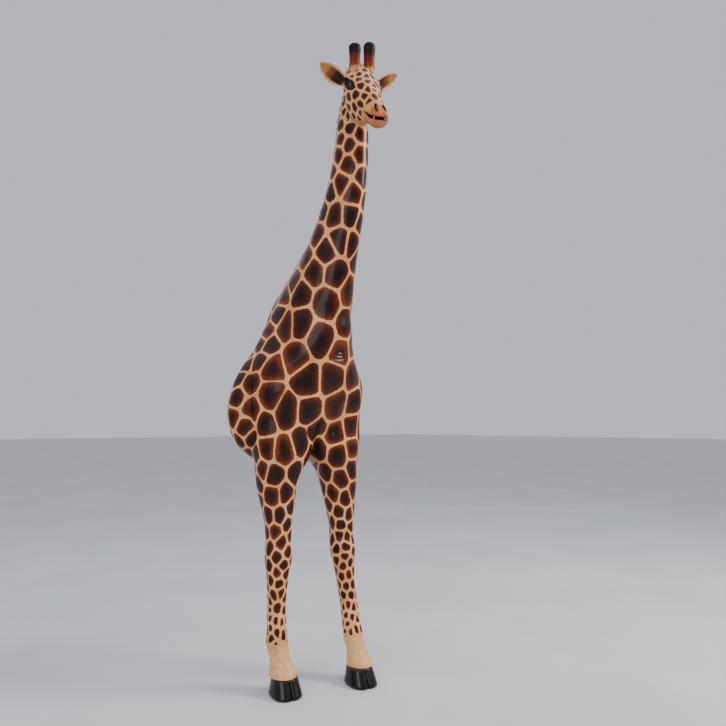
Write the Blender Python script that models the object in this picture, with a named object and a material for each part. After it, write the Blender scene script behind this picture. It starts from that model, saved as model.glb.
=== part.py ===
"""Half giraffe wall statue: glass-fibre shells on a steel frame, hung from the wall by its flat back.

Metres, +Z up. The giraffe faces -Y and its own left side is +X. Y = 0 is the wall. All shapes are
written with heights above the floor, and the whole assembly hangs from one empty that moves the
origin up to the middle of the wall cleat's rear face.
"""
from math import cos, hypot, pi, radians, sin, sqrt

import bmesh
import bpy
from mathutils import Matrix, Vector

# ---- driving dimensions ------------------------------------------------------------------------
MOUNT_HEIGHT = 1.66          # wall cleat above the floor
WALL_SHELL = 0.005           # laminate thickness of the shells
GAP = 0.0003                 # clearance between touching pieces
SEAM_GAP = 0.0008            # open joint line between two shells
SEAM_EXTRA = 0.012           # a shell is thickened this far past its seam, then trimmed
SEAM_BLOCK = 2.0             # size of the trimming blocks
BODY_VOXEL = 0.013           # grain of the blended body form
HEAD_VOXEL = 0.007
BODY_KEEP = 0.045            # share of faces kept on the body form
HEAD_KEEP = 0.045

NECK_SEAM = 2.02             # torso to neck joint, height above the floor
LEG_SEAM = 0.93              # torso to foreleg joint
HOOF_SEAM = 0.078            # foreleg to hoof joint
HEAD_SEAM_POINT = (0.0, -0.540, 2.645)
HEAD_SEAM_TILT = radians(36)

HEAD_PIVOT = Vector((0.0, -0.46, 0.0))
HEAD_YAW = radians(-16)      # turned towards its own right
HEAD_ROLL = radians(-6)      # its left ear a little higher
MUZZLE_LEAN = -27
RIGHT_HORN_SQUAT = 0.86      # the right horn is a little shorter

BOARD_BACK = 0.020           # the board sits this far inside the shell's rear rim
BOARD_THICK = 0.018
SPINE_FORWARD = 0.10         # steel frame in front of the wall
SPINE_RADIUS = 0.017
BAR_HEIGHT = 1.22
BAR_HALF = 0.020
THIGH = 0.97                 # below this height a leg follows its own middle line
ROD_RADIUS = 0.010

# Stations run along each limb: (x, forward from the wall, height, half width, half depth, lean in degrees)
TRUNK = (
    (0, 0.02, 1.036, 0.050, 0.030, 0), (0, 0.00, 1.046, 0.200, 0.090, 0),
    (0, 0.00, 1.086, 0.285, 0.150, 0), (0, 0.00, 1.158, 0.345, 0.205, 0),
    (0, 0.00, 1.270, 0.378, 0.265, 0), (0, 0.00, 1.380, 0.366, 0.310, 0),
    (0, 0.00, 1.490, 0.318, 0.348, 0), (0, 0.02, 1.600, 0.240, 0.364, 0),
    (0, 0.075, 1.710, 0.186, 0.334, 5), (0, 0.14, 1.800, 0.162, 0.270, 10),
    (0, 0.20, 1.880, 0.147, 0.228, 14), (0, 0.258, 1.970, 0.129, 0.190, 17),
    (0, 0.319, 2.080, 0.110, 0.155, 19), (0, 0.376, 2.200, 0.096, 0.132, 18),
    (0, 0.415, 2.310, 0.088, 0.118, 16), (0, 0.446, 2.420, 0.080, 0.106, 12),
    (0, 0.464, 2.530, 0.074, 0.096, 7), (0, 0.475, 2.640, 0.068, 0.089, 4),
    (0, 0.480, 2.735, 0.062, 0.078, 6), (0, 0.500, 2.815, 0.057, 0.066, 12),
    (0, 0.528, 2.872, 0.045, 0.046, 18),
)
SHOULDER = (
    (0.150, 0.10, 1.62, 0.070, 0.090, 0), (0.160, 0.125, 1.50, 0.118, 0.140, 0),
    (0.168, 0.125, 1.38, 0.140, 0.152, 0), (0.162, 0.122, 1.24, 0.140, 0.134, 0),
)
RIGHT_LEG = (
    (0.150, 0.130, 1.10, 0.147, 0.132, 0), (0.163, 0.130, 1.03, 0.123, 0.121, 0),
    (0.181, 0.130, 0.96, 0.099, 0.112, 0),
    (0.182, 0.136, 0.86, 0.079, 0.094, 0), (0.180, 0.142, 0.77, 0.064, 0.078, 0),
    (0.178, 0.143, 0.68, 0.057, 0.069, 0), (0.178, 0.144, 0.60, 0.060, 0.069, 0),
    (0.179, 0.142, 0.52, 0.053, 0.058, 0), (0.180, 0.140, 0.44, 0.045, 0.050, 0),
    (0.180, 0.139, 0.34, 0.044, 0.048, 0), (0.180, 0.141, 0.26, 0.046, 0.050, 0),
    (0.180, 0.148, 0.205, 0.050, 0.054, 0), (0.180, 0.170, 0.15, 0.048, 0.053, 14),
    (0.180, 0.192, 0.10, 0.053, 0.060, 14), (0.180, 0.200, 0.05, 0.058, 0.066, 8),
)
LEFT_LEG = (
    (0.150, 0.134, 1.10, 0.147, 0.132, 0), (0.163, 0.138, 1.03, 0.122, 0.120, 3),
    (0.181, 0.142, 0.96, 0.098, 0.111, 5),
    (0.182, 0.153, 0.86, 0.077, 0.091, 6), (0.182, 0.165, 0.77, 0.063, 0.076, 7),
    (0.180, 0.178, 0.68, 0.056, 0.068, 7), (0.179, 0.189, 0.60, 0.059, 0.068, 7),
    (0.180, 0.200, 0.52, 0.052, 0.057, 8), (0.180, 0.215, 0.44, 0.045, 0.050, 10),
    (0.181, 0.238, 0.34, 0.044, 0.048, 12), (0.181, 0.257, 0.26, 0.046, 0.050, 13),
    (0.180, 0.277, 0.19, 0.050, 0.054, 15), (0.180, 0.303, 0.125, 0.049, 0.055, 16),
    (0.179, 0.318, 0.090, 0.054, 0.061, 12), (0.177, 0.324, 0.05, 0.058, 0.066, 8),
)
# Head stations are forward of HEAD_PIVOT, on the head's own mid-plane, before it is turned.
HEAD = (
    (0, 0.094, 2.912, 0.030, 0.020, MUZZLE_LEAN), (0, 0.104, 2.888, 0.060, 0.050, MUZZLE_LEAN),
    (0, 0.112, 2.856, 0.073, 0.067, MUZZLE_LEAN), (0, 0.121, 2.808, 0.083, 0.082, MUZZLE_LEAN),
    (0, 0.142, 2.747, 0.083, 0.093, MUZZLE_LEAN), (0, 0.163, 2.699, 0.073, 0.093, MUZZLE_LEAN),
    (0, 0.194, 2.668, 0.060, 0.078, MUZZLE_LEAN), (0, 0.222, 2.640, 0.051, 0.062, MUZZLE_LEAN),
    (0, 0.247, 2.615, 0.047, 0.050, MUZZLE_LEAN), (0, 0.266, 2.587, 0.046, 0.042, MUZZLE_LEAN),
    (0, 0.274, 2.571, 0.037, 0.030, MUZZLE_LEAN), (0, 0.277, 2.564, 0.020, 0.014, MUZZLE_LEAN),
)
EYE_AT = (0.066, -0.162, 2.790)
EYE_RADIUS = 0.024
HOOF_TOE_TURN = radians(-13)
RIGHT_HOOF_AT = (-0.180, -0.216)
LEFT_HOOF_AT = (0.164, -0.344)

PAINT = {
    "coat": ((0.42, 0.17, 0.06), 0.22, 0.0), "hoof_black": ((0.012, 0.011, 0.011), 0.2, 0.0),
    "ear_cream": ((0.72, 0.50, 0.27), 0.3, 0.0), "horn_rust": ((0.16, 0.03, 0.015), 0.25, 0.0),
    "eye_black": ((0.01, 0.01, 0.014), 0.06, 0.0), "mane_dark": ((0.02, 0.012, 0.01), 0.4, 0.0),
    "tooth_white": ((0.8, 0.77, 0.68), 0.25, 0.0), "tongue_red": ((0.2, 0.03, 0.02), 0.35, 0.0),
    "plywood": ((0.55, 0.38, 0.2), 0.7, 0.0), "steel": ((0.35, 0.36, 0.38), 0.45, 1.0),
    "cleat_wood": ((0.45, 0.29, 0.14), 0.65, 0.0), "laminate": ((0.5, 0.47, 0.36), 0.55, 0.0),
    "zinc": ((0.62, 0.62, 0.6), 0.35, 1.0),
}


# ---- small tools -------------------------------------------------------------------------------
def clear_scene():
    for thing in list(bpy.data.objects):
        bpy.data.objects.remove(thing, do_unlink=True)


def paint(name):
    """One Principled material per colour, made once."""
    mat = bpy.data.materials.get(name)
    if mat is None:
        colour, roughness, metallic = PAINT[name]
        mat = bpy.data.materials.new(name)
        mat.use_nodes = True
        shader = mat.node_tree.nodes["Principled BSDF"]
        shader.inputs["Base Color"].default_value = (*colour, 1)
        shader.inputs["Roughness"].default_value = roughness
        shader.inputs["Metallic"].default_value = metallic
        mat.diffuse_color = (*colour, 1)
    return mat


def add_object(name, bm, colour, smooth=40):
    """Turn a bmesh into a named object that hangs from the statue's empty."""
    mesh = bpy.data.meshes.new(name)
    bm.to_mesh(mesh)
    bm.free()
    if smooth:
        mesh.shade_smooth()
        mesh.set_sharp_from_angle(angle=radians(smooth))
    mesh.materials.append(paint(colour))
    thing = bpy.data.objects.new(name, mesh)
    bpy.context.scene.collection.objects.link(thing)
    thing.parent = bpy.data.objects["statue_origin"]
    return thing


def add_cutter(name, bm):
    cutter = add_object(name, bm, "steel", smooth=0)
    cutter.hide_render = True
    cutter.display_type = "WIRE"
    return cutter


def cut(thing, cutter, solver="EXACT"):
    modifier = thing.modifiers.new("cut_" + cutter.name, "BOOLEAN")
    modifier.operation = "DIFFERENCE"
    modifier.solver = solver
    modifier.object = cutter


def mirrored(stations):
    return tuple((-s[0], *s[1:]) for s in stations)


def resample(stations, count):
    """Cubic Hermite interpolation of the stations at equal steps of length."""
    length = [0.0]
    for a, b in zip(stations, stations[1:]):
        length.append(length[-1] + max(hypot(hypot(b[0] - a[0], b[1] - a[1]), b[2] - a[2]), 1e-4))
    last = len(stations) - 1

    def slope(i, k):
        lo, hi = max(i - 1, 0), min(i + 1, last)
        return (stations[hi][k] - stations[lo][k]) / (length[hi] - length[lo])

    result = []
    for step in range(count):
        at = length[-1] * step / (count - 1)
        i = min(max(j for j in range(last + 1) if length[j] <= at + 1e-9), last - 1)
        span = length[i + 1] - length[i]
        t = (at - length[i]) / span
        h1, h2 = 2 * t**3 - 3 * t**2 + 1, -2 * t**3 + 3 * t**2
        m1, m2 = t**3 - 2 * t**2 + t, t**3 - t**2
        result.append(tuple(
            h1 * stations[i][k] + m1 * span * slope(i, k) + h2 * stations[i + 1][k]
            + m2 * span * slope(i + 1, k) for k in range(6)))
    return result


def section(station, sides, inset=0.0):
    """Ellipse of one station, tipped by its lean, as points in the statue's frame."""
    x, forward, height, half_width, half_depth, lean = station
    lean = radians(lean)
    points = []
    for i in range(sides):
        angle = 2 * pi * i / sides
        across = (half_width - inset) * cos(angle)
        along = (half_depth - inset) * sin(angle)
        points.append(Vector((x + across, -(forward + along * cos(lean)), height - along * sin(lean))))
    return points


def bridge(bm, rings, capped=True):
    """Skin a row of equal rings, with fans over both ends."""
    loops = [[bm.verts.new(p) for p in ring] for ring in rings]
    for low, high in zip(loops, loops[1:]):
        for i in range(len(low)):
            j = (i + 1) % len(low)
            bm.faces.new((low[i], low[j], high[j], high[i]))
    if capped:
        bm.faces.new(loops[0])
        bm.faces.new(loops[-1])
    return loops


def loft(stations, count, sides, place=None, inset=0.0):
    bm = bmesh.new()
    rings = [section(s, sides, inset) for s in resample(stations, count)]
    if place is not None:
        rings = [[place @ p for p in ring] for ring in rings]
    bridge(bm, rings)
    bmesh.ops.recalc_face_normals(bm, faces=bm.faces)
    return bm


def hollow_loft(stations, count, sides, outer, inner):
    """Open-ended tube between two insets of the same stations."""
    bm = bmesh.new()
    rows = resample(stations, count)
    out = bridge(bm, [section(s, sides, outer) for s in rows], capped=False)
    inn = bridge(bm, [section(s, sides, inner) for s in rows], capped=False)
    for end in (0, -1):
        for i in range(sides):
            j = (i + 1) % sides
            bm.faces.new((out[end][i], out[end][j], inn[end][j], inn[end][i]))
    bmesh.ops.recalc_face_normals(bm, faces=bm.faces)
    return bm


def swept_bar(path, radius, sides, bore=0.0):
    """Round bar or tube along a path of points; every ring is square to the path."""
    rings_out, rings_in = [], []
    for i, point in enumerate(path):
        before, after = path[max(i - 1, 0)], path[min(i + 1, len(path) - 1)]
        axis = (after - before).normalized()
        side = Vector((1, 0, 0))
        front = axis.cross(side).normalized()
        side = front.cross(axis).normalized()
        turn = [2 * pi * k / sides for k in range(sides)]
        rings_out.append([point + radius * (cos(a) * side + sin(a) * front) for a in turn])
        rings_in.append([point + bore * (cos(a) * side + sin(a) * front) for a in turn])
    bm = bmesh.new()
    if bore == 0:
        bridge(bm, rings_out)
    else:
        out, inn = bridge(bm, rings_out, capped=False), bridge(bm, rings_in, capped=False)
        for end in (0, -1):
            for i in range(sides):
                j = (i + 1) % sides
                bm.faces.new((out[end][i], out[end][j], inn[end][j], inn[end][i]))
    bmesh.ops.recalc_face_normals(bm, faces=bm.faces)
    return bm


def box(low, high, bevel=0.0):
    bm = bmesh.new()
    bmesh.ops.create_cube(bm, size=1)
    size = Vector(high) - Vector(low)
    middle = (Vector(high) + Vector(low)) / 2
    bmesh.ops.transform(bm, matrix=Matrix.Translation(middle) @ Matrix.Diagonal((*size, 1)), verts=bm.verts)
    if bevel:
        bmesh.ops.bevel(bm, geom=bm.edges, offset=bevel, segments=1, affect="EDGES")
    return bm


def rod(start, end, radius, sides=12):
    return swept_bar([Vector(start), Vector(end)], radius, sides)


def prism(outline, axis, low, high):
    """Extrude a flat outline: axis X takes (y, z) points, axis Z takes (x, y) and axis Y takes (x, z)."""
    order = {"X": lambda p, d: (d, p[0], p[1]), "Y": lambda p, d: (p[0], d, p[1]),
             "Z": lambda p, d: (p[0], p[1], d)}[axis]
    bm = bmesh.new()
    bridge(bm, [[Vector(order(p, d)) for p in outline] for d in (low, high)])
    bmesh.ops.recalc_face_normals(bm, faces=bm.faces)
    return bm


def screw(name, head_at, direction, length, shank, head_radius, head_height, colour="zinc"):
    """Pan-head fastener: head base at head_at, shank along direction."""
    head_at, direction = Vector(head_at), Vector(direction).normalized()
    side = Vector((0, 0, 1)) if abs(direction.z) < 0.9 else Vector((1, 0, 0))
    front = direction.cross(side)
    profile = ((-head_height, head_radius * 0.7), (-head_height * 0.45, head_radius), (0, head_radius),
               (0, shank), (length - shank, shank), (length, shank * 0.3))
    bm = bmesh.new()
    sides = 8
    bridge(bm, [[head_at + direction * d
                 + r * (cos(2 * pi * k / sides) * side + sin(2 * pi * k / sides) * front)
                 for k in range(sides)] for d, r in profile])
    bmesh.ops.recalc_face_normals(bm, faces=bm.faces)
    return add_object(name, bm, colour)


# ---- blended forms the shells are cut from -------------------------------------------------------
def head_place():
    """Turn the head about its pivot: roll about its forward line, then yaw."""
    up = Vector((0, 0, 2.78))
    roll = Matrix.Translation(up) @ Matrix.Rotation(HEAD_ROLL, 4, "Y") @ Matrix.Translation(-up)
    return Matrix.Translation(HEAD_PIVOT) @ Matrix.Rotation(HEAD_YAW, 4, "Z") @ roll


def blended(name, lofts, voxel, smoothing, keep):
    """Melt overlapping lofts into one closed skin, relax it and thin its faces out."""
    both = bmesh.new()
    for bm in lofts:
        mesh = bpy.data.meshes.new("loft")
        bm.to_mesh(mesh)
        bm.free()
        both.from_mesh(mesh)
        bpy.data.meshes.remove(mesh)
    form = add_cutter(name, both)
    remesh = form.modifiers.new("melt", "REMESH")
    remesh.mode = "VOXEL"
    remesh.voxel_size = voxel
    relax = form.modifiers.new("relax", "SMOOTH")
    relax.factor = 0.5
    relax.iterations = smoothing
    thin = form.modifiers.new("thin", "DECIMATE")
    thin.ratio = keep
    return form


def evaluated(form):
    """The form's mesh after its modifiers, as a bmesh in the statue's frame."""
    bpy.context.view_layer.update()
    graph = bpy.context.evaluated_depsgraph_get()
    mesh = form.evaluated_get(graph).to_mesh()
    bm = bmesh.new()
    bm.from_mesh(mesh)
    form.evaluated_get(graph).to_mesh_clear()
    return bm


def slice_off(bm, point, normal):
    """Cut the surface at a plane and drop the side that the normal points to, leaving it open."""
    bmesh.ops.bisect_plane(bm, geom=bm.verts[:] + bm.edges[:] + bm.faces[:], dist=1e-6,
                           plane_co=point, plane_no=normal, clear_outer=True)


def keep_biggest(bm):
    """Drop loose islands left by a cut."""
    todo, islands = set(bm.verts), []
    while todo:
        seed = todo.pop()
        island, edge = {seed}, [seed]
        while edge:
            vert = edge.pop()
            for link in vert.link_edges:
                other = link.other_vert(vert)
                if other not in island:
                    island.add(other)
                    edge.append(other)
        todo -= island
        islands.append(island)
    islands.sort(key=len)
    drop = [v for island in islands[:-1] for v in island]
    bmesh.ops.delete(bm, geom=drop, context="VERTS")


def plane_block(name, point, normal):
    """Large block whose face lies on the plane, on the side that the normal points to."""
    bm = box((-SEAM_BLOCK, -SEAM_BLOCK, 0), (SEAM_BLOCK, SEAM_BLOCK, SEAM_BLOCK))
    turn = normal.to_track_quat("Z", "Y").to_matrix().to_4x4()
    bmesh.ops.transform(bm, matrix=Matrix.Translation(point) @ turn, verts=bm.verts)
    return add_cutter(name, bm)


def shell(name, form, planes, halved=None):
    """A laminate shell: the form opened past the planes, thickened inwards and trimmed flat at them."""
    bm = evaluated(form)
    if halved:
        slice_off(bm, Vector((0, 0, 0)), Vector(halved))
    for point, normal in planes:
        slice_off(bm, Vector(point) + Vector(normal) * SEAM_EXTRA, Vector(normal))
    keep_biggest(bm)
    bmesh.ops.triangulate(bm, faces=bm.faces)
    thing = add_object(name, bm, "coat", smooth=60)
    wall = thing.modifiers.new("laminate", "SOLIDIFY")
    wall.thickness = WALL_SHELL
    wall.offset = -1
    for i, (point, normal) in enumerate(planes):
        block = plane_block(f"{name}_trim_{i + 1}", Vector(point), Vector(normal))
        cut(thing, block, "MANIFOLD")  # EXACT loses faces of this thin skin
    return thing


def swollen(name, form, by):
    """Closed copy of a form, moved out along its normals, to cut neighbours clear of the skin."""
    bm = evaluated(form)
    bm.normal_update()
    for vert in bm.verts:
        vert.co += vert.normal * by
    return add_cutter(name, bm)


def make_shells():
    body_form = blended("body_form", [
        loft(TRUNK, 64, 40),
        loft(mirrored(SHOULDER + RIGHT_LEG), 60, 24),
        loft(SHOULDER + LEFT_LEG, 60, 24)], BODY_VOXEL, 8, BODY_KEEP)
    head_form = blended("head_form", [
        loft(HEAD, 40, 32, place=head_place()),
        loft(TRUNK[-5:], 14, 32)], HEAD_VOXEL, 5, HEAD_KEEP)
    up, down = (0, 0, 1), (0, 0, -1)
    seam = Vector((0, -sin(HEAD_SEAM_TILT), cos(HEAD_SEAM_TILT)))
    half = SEAM_GAP / 2
    wall = ((0, 0, 0), (0, 1, 0))
    shell("torso_shell", body_form, [wall, ((0, 0, NECK_SEAM - half), up), ((0, 0, LEG_SEAM + half), down)])
    shell("neck_shell", body_form, [((0, 0, NECK_SEAM + half), down),
                                    (Vector(HEAD_SEAM_POINT) - seam * half, seam)])
    for side, away in (("right", (1, 0, 0)), ("left", (-1, 0, 0))):
        shell(side + "_foreleg_shell", body_form,
              [((0, 0, LEG_SEAM - half), up), ((0, 0, HOOF_SEAM + half), down)], halved=away)
    head = shell("head_shell", head_form, [(Vector(HEAD_SEAM_POINT) + seam * half, -seam)])
    return body_form, head_form, head


# ---- head pieces ---------------------------------------------------------------------------------
def eyeball(radius):
    bm = bmesh.new()
    bmesh.ops.create_uvsphere(bm, u_segments=14, v_segments=8, radius=radius)
    return bm


def make_eyes(head, place):
    for side, sign in (("right", -1), ("left", 1)):
        at = place @ Matrix.Translation((sign * EYE_AT[0], *EYE_AT[1:]))
        ball = eyeball(EYE_RADIUS)
        bmesh.ops.transform(ball, matrix=at, verts=ball.verts)
        add_object(side + "_eye", ball, "eye_black", smooth=60)
        socket = eyeball(EYE_RADIUS + GAP)
        bmesh.ops.transform(socket, matrix=at, verts=socket.verts)
        cut(head, add_cutter(side + "_eye_socket", socket))


def ossicone_stations(sign, grow):
    """Horn from its root inside the skull up to a swollen, rounded tip."""
    rows = ((0.034, 0.142, 2.846, 0.024), (0.036, 0.155, 2.886, 0.0265), (0.037, 0.163, 2.918, 0.0255),
            (0.038, 0.171, 2.950, 0.0262), (0.0385, 0.177, 2.972, 0.0285), (0.0385, 0.180, 2.990, 0.0235),
            (0.0385, 0.182, 3.001, 0.0100))
    squat = RIGHT_HORN_SQUAT if sign < 0 else 1
    return tuple((sign * x, f, 2.886 + (h - 2.886) * (squat if h > 2.886 else 1), r + grow, r + grow, 12)
                 for x, f, h, r in rows)


def make_ossicones(head, place):
    for side, sign in (("right", -1), ("left", 1)):
        add_object(side + "_ossicone", loft(ossicone_stations(sign, 0), 12, 16, place), "horn_rust", 60)
        hole = loft(ossicone_stations(sign, GAP), 12, 16, place)
        cut(head, add_cutter(side + "_ossicone_hole", hole))


def ear_mesh(sign, place, grow=0.0):
    """Leaf-shaped ear: crescent sections from a round root out to the tip, hollow side forwards."""
    rows = ((0.052, 0.016, 0.014, 0.000), (0.078, 0.018, 0.013, 0.003), (0.102, 0.030, 0.009, 0.014),
            (0.128, 0.038, 0.007, 0.018), (0.155, 0.036, 0.006, 0.015), (0.178, 0.026, 0.005, 0.009),
            (0.196, 0.013, 0.004, 0.003), (0.205, 0.004, 0.003, 0.000))
    if grow:
        rows = ((rows[0][0] - 0.01, *rows[0][1:]), *rows[1:])
    root, tip = Vector((0.052, -0.113, 2.817)), Vector((0.203, -0.136, 2.894))
    axis = (tip - root).normalized()
    broad = Vector((0, -0.80, 0.60)).normalized()
    broad = (broad - axis * broad.dot(axis)).normalized()
    facing = broad.cross(axis)
    if facing.y > 0:
        facing = -facing
    sides = 14
    rings = []
    for reach, half, thick, cup in rows:
        middle = root + axis * ((reach - 0.052) / 0.153 * (tip - root).length)
        ring = []
        for k in range(sides):
            angle = 2 * pi * k / sides
            across, through = (half + grow) * cos(angle), (thick + grow) * sin(angle)
            through += cup * (cos(angle) ** 2 - 0.5)
            point = middle + broad * across + facing * through
            ring.append(place @ Vector((sign * point.x, point.y, point.z)))
        rings.append(ring)
    bm = bmesh.new()
    bridge(bm, rings)
    bmesh.ops.recalc_face_normals(bm, faces=bm.faces)
    return bm


def make_ears(head, place):
    for side, sign in (("right", -1), ("left", 1)):
        add_object(side + "_ear", ear_mesh(sign, place), "ear_cream", smooth=60)
        cut(head, add_cutter(side + "_ear_hole", ear_mesh(sign, place, grow=2 * GAP)))


def make_mouth(head, place):
    """Slightly open mouth: a wedge cut through the lips, with a tongue and lower teeth behind it."""
    corner, front = Vector((0.232, 2.637)), Vector((0.338, 2.549))
    run = (front - corner).normalized()
    rise = Vector((-run.y, run.x))
    open_front, open_corner = 0.0065, 0.0015
    outline = [corner - rise * open_corner, front - rise * open_front,
               front + rise * open_front, corner + rise * open_corner]
    slit = prism([(-p.x, p.y) for p in outline], "X", -0.07, 0.07)
    bmesh.ops.transform(slit, matrix=place, verts=slit.verts)
    cut(head, add_cutter("mouth_slit", slit))
    tongue_rows = ((0, 0.202, 2.642, 0.014, 0.008, -50), (0, 0.234, 2.617, 0.020, 0.010, -50),
                   (0, 0.257, 2.598, 0.020, 0.009, -50), (0, 0.272, 2.586, 0.012, 0.006, -50))
    add_object("tongue", loft(tongue_rows, 8, 12, place), "tongue_red", smooth=60)
    for side, sign in (("right", -1), ("left", 1)):
        low = Vector((sign * 0.0295, -0.265, 2.592))
        tooth_rows = tuple((low.x, -low.y + 0.002 * k, low.z + 0.0045 * k, r, r, 0)
                           for k, r in ((-1, 0.0030), (0, 0.0036), (1, 0.0030), (2, 0.0012)))
        add_object(side + "_tooth", loft(tooth_rows, 5, 8, place), "tooth_white", smooth=60)


# ---- mane ----------------------------------------------------------------------------------------
def mane_strip(name, low, high, teeth, skins):
    """Upright strip of resin hair on the nape, saw-toothed outside, cut to the skin inside."""
    rows = [s for s in resample(TRUNK, 160) if low <= s[2] <= high]
    steps = 2 * teeth
    rings = []
    for k in range(steps + 1):
        s = rows[round(k * (len(rows) - 1) / steps)]
        lean = radians(s[5])
        back = Vector((0, -(s[1] - s[4] * cos(lean)), s[2] + s[4] * sin(lean)))
        outward = Vector((0, cos(lean), sin(lean)))
        crest = min((0.044 if k % 2 else 0.034) * (1 - 0.45 * max(0, min(1, (s[2] - 2.1) / 0.6))),
                    -0.85 * back.y)
        half = 0.011
        rings.append([back + Vector((half, 0, 0)) - outward * 0.015,
                      back + Vector((half, 0, 0)) + outward * 0.004,
                      back + Vector((0.003, 0, 0)) + outward * crest,
                      back - Vector((0.003, 0, 0)) + outward * crest,
                      back - Vector((half, 0, 0)) + outward * 0.004,
                      back - Vector((half, 0, 0)) - outward * 0.015])
    bm = bmesh.new()
    bridge(bm, rings)
    bmesh.ops.recalc_face_normals(bm, faces=bm.faces)
    strip = add_object(name, bm, "mane_dark", smooth=30)
    for skin in skins:
        cut(strip, skin)


# ---- hooves --------------------------------------------------------------------------------------
def make_hoof(side, at, rod_path):
    """Cloven hoof: flared walls, flat sole, split toe, and a blind socket for the leg rod."""
    rows = ((0.000, 0.067, 0.084, 0.004), (0.006, 0.070, 0.087, 0.004), (0.030, 0.066, 0.080, 0.002),
            (0.056, 0.059, 0.070, -0.001), (HOOF_SEAM - 0.004, 0.0575, 0.0665, -0.002),
            (HOOF_SEAM - GAP - SEAM_GAP, 0.050, 0.058, -0.003))
    rings = []
    sides = 28
    turn = Matrix.Rotation(HOOF_TOE_TURN, 3, "Z")
    for height, half_width, half_length, ahead in rows:
        ring = []
        for k in range(sides):
            angle = 2 * pi * k / sides
            square = 1 / max(abs(cos(angle)) ** 2.6 + abs(sin(angle)) ** 2.6, 1e-6) ** (1 / 2.6)
            point = turn @ Vector((half_width * square * cos(angle),
                                   -half_length * square * sin(angle) - ahead, 0))
            ring.append(Vector((at[0] + point.x, at[1] + point.y, height)))
        rings.append(ring)
    bm = bmesh.new()
    bridge(bm, rings)
    bmesh.ops.recalc_face_normals(bm, faces=bm.faces)
    hoof = add_object(side + "_hoof", bm, "hoof_black")
    cleft = prism([(-0.0045, -0.120), (0.0045, -0.120), (0.0012, -0.038), (-0.0012, -0.038)],
                  "Z", -0.02, 0.066)
    bmesh.ops.transform(cleft, matrix=Matrix.Translation((at[0], at[1], 0)) @ turn.to_4x4(),
                        verts=cleft.verts)
    cut(hoof, add_cutter(side + "_cleft", cleft))
    foot = rod_path[-1]
    top = rod_path[-2]
    reach = top + (foot - top) * 1.002
    cut(hoof, add_cutter(side + "_rod_socket", rod(top, reach, ROD_RADIUS + GAP, 10)))


# ---- frame, board and hanging rail ---------------------------------------------------------------
def rod_route(stations, sign):
    """Middle line of a leg, from under the shoulder bar down into the hoof."""
    rows = [s for s in resample(stations, 60) if s[2] < THIGH]
    picked = rows[::7]
    top = BAR_HEIGHT - BAR_HALF - GAP
    route = [Vector((sign * 0.176, -0.120, top)), Vector((sign * 0.176, -0.120, top - 0.04))]
    route += [Vector((sign * s[0], -s[1], s[2])) for s in picked if s[2] > 0.11]
    last = Vector((sign * rows[-1][0], -rows[-1][1], 0.030))
    return route + [last]


def board_outline(clear):
    """Outline of the opening at the board's depth, from the trunk's own stations."""
    right = []
    for s in resample(TRUNK, 60):
        widths = []
        for depth in (BOARD_BACK, BOARD_BACK + BOARD_THICK):
            reach = 1 - ((depth - s[1]) / s[4]) ** 2
            widths.append(s[3] * sqrt(reach) if reach > 0 else 0)
        half = min(widths) - clear
        if half > 0.04 and 1.085 < s[2] < 1.84:
            right.append((half, s[2]))
    thinned = right[::2] + [right[-1]]
    return thinned + [(-x, z) for x, z in reversed(thinned)]


def make_board():
    board = add_object("back_board", prism(board_outline(0.016), "Y", -BOARD_BACK - BOARD_THICK, -BOARD_BACK),
                       "plywood", smooth=0)
    return board


def make_cleats(board):
    """Pair of bevelled timber rails; the wall rail's rear face carries the origin."""
    c = MOUNT_HEIGHT
    depth = BOARD_BACK - GAP
    wall_profile = [(0, c - 0.032), (0, c + 0.020), (-depth, c + 0.020 + depth), (-depth, c - 0.032)]
    hung_profile = [(-2 * GAP, c + 0.0206 + GAP), (-2 * GAP, c + 0.085), (-depth, c + 0.085),
                    (-depth, c + 0.0206 + depth)]
    wall_rail = add_object("wall_cleat", prism(wall_profile, "X", -0.12, 0.12), "cleat_wood", smooth=0)
    hung_rail = add_object("statue_cleat", prism(hung_profile, "X", -0.10, 0.10), "cleat_wood", smooth=0)
    for k, x in enumerate((-0.085, 0.085)):
        hole = rod((x, 0.01, c - 0.008), (x, -0.03, c - 0.008), 0.003, 10)
        cut(wall_rail, add_cutter(f"wall_hole_{k + 1}", hole))
    for k, x in enumerate((-0.075, 0.0, 0.075)):
        z = c + 0.062
        head_base = -0.0055
        screw(f"cleat_screw_{k + 1}", (x, head_base, z), (0, -1, 0), 0.026, 0.0022, 0.0045, 0.003)
        shank = rod((x, 0.001, z), (x, head_base - 0.0275, z), 0.0022 + GAP, 10)
        seat = rod((x, 0.001, z), (x, head_base - GAP, z), 0.0045 + GAP, 10)
        cut(hung_rail, add_cutter(f"cleat_pilot_{k + 1}", shank))
        cut(hung_rail, add_cutter(f"cleat_seat_{k + 1}", seat))
        cut(board, bpy.data.objects[f"cleat_pilot_{k + 1}"])


def spine_route():
    """Straight up the back of the barrel, then along the middle of the neck into the head."""
    route = [Vector((0, -SPINE_FORWARD, z)) for z in (BAR_HEIGHT + BAR_HALF + GAP, 1.40, 1.58, 1.72)]
    route.append(Vector((0, -0.135, 1.82)))
    rows = [s for s in resample(TRUNK, 60) if 1.92 < s[2] < 2.72]
    return route + [Vector((0, -s[1], s[2])) for s in rows[::3]]


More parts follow.
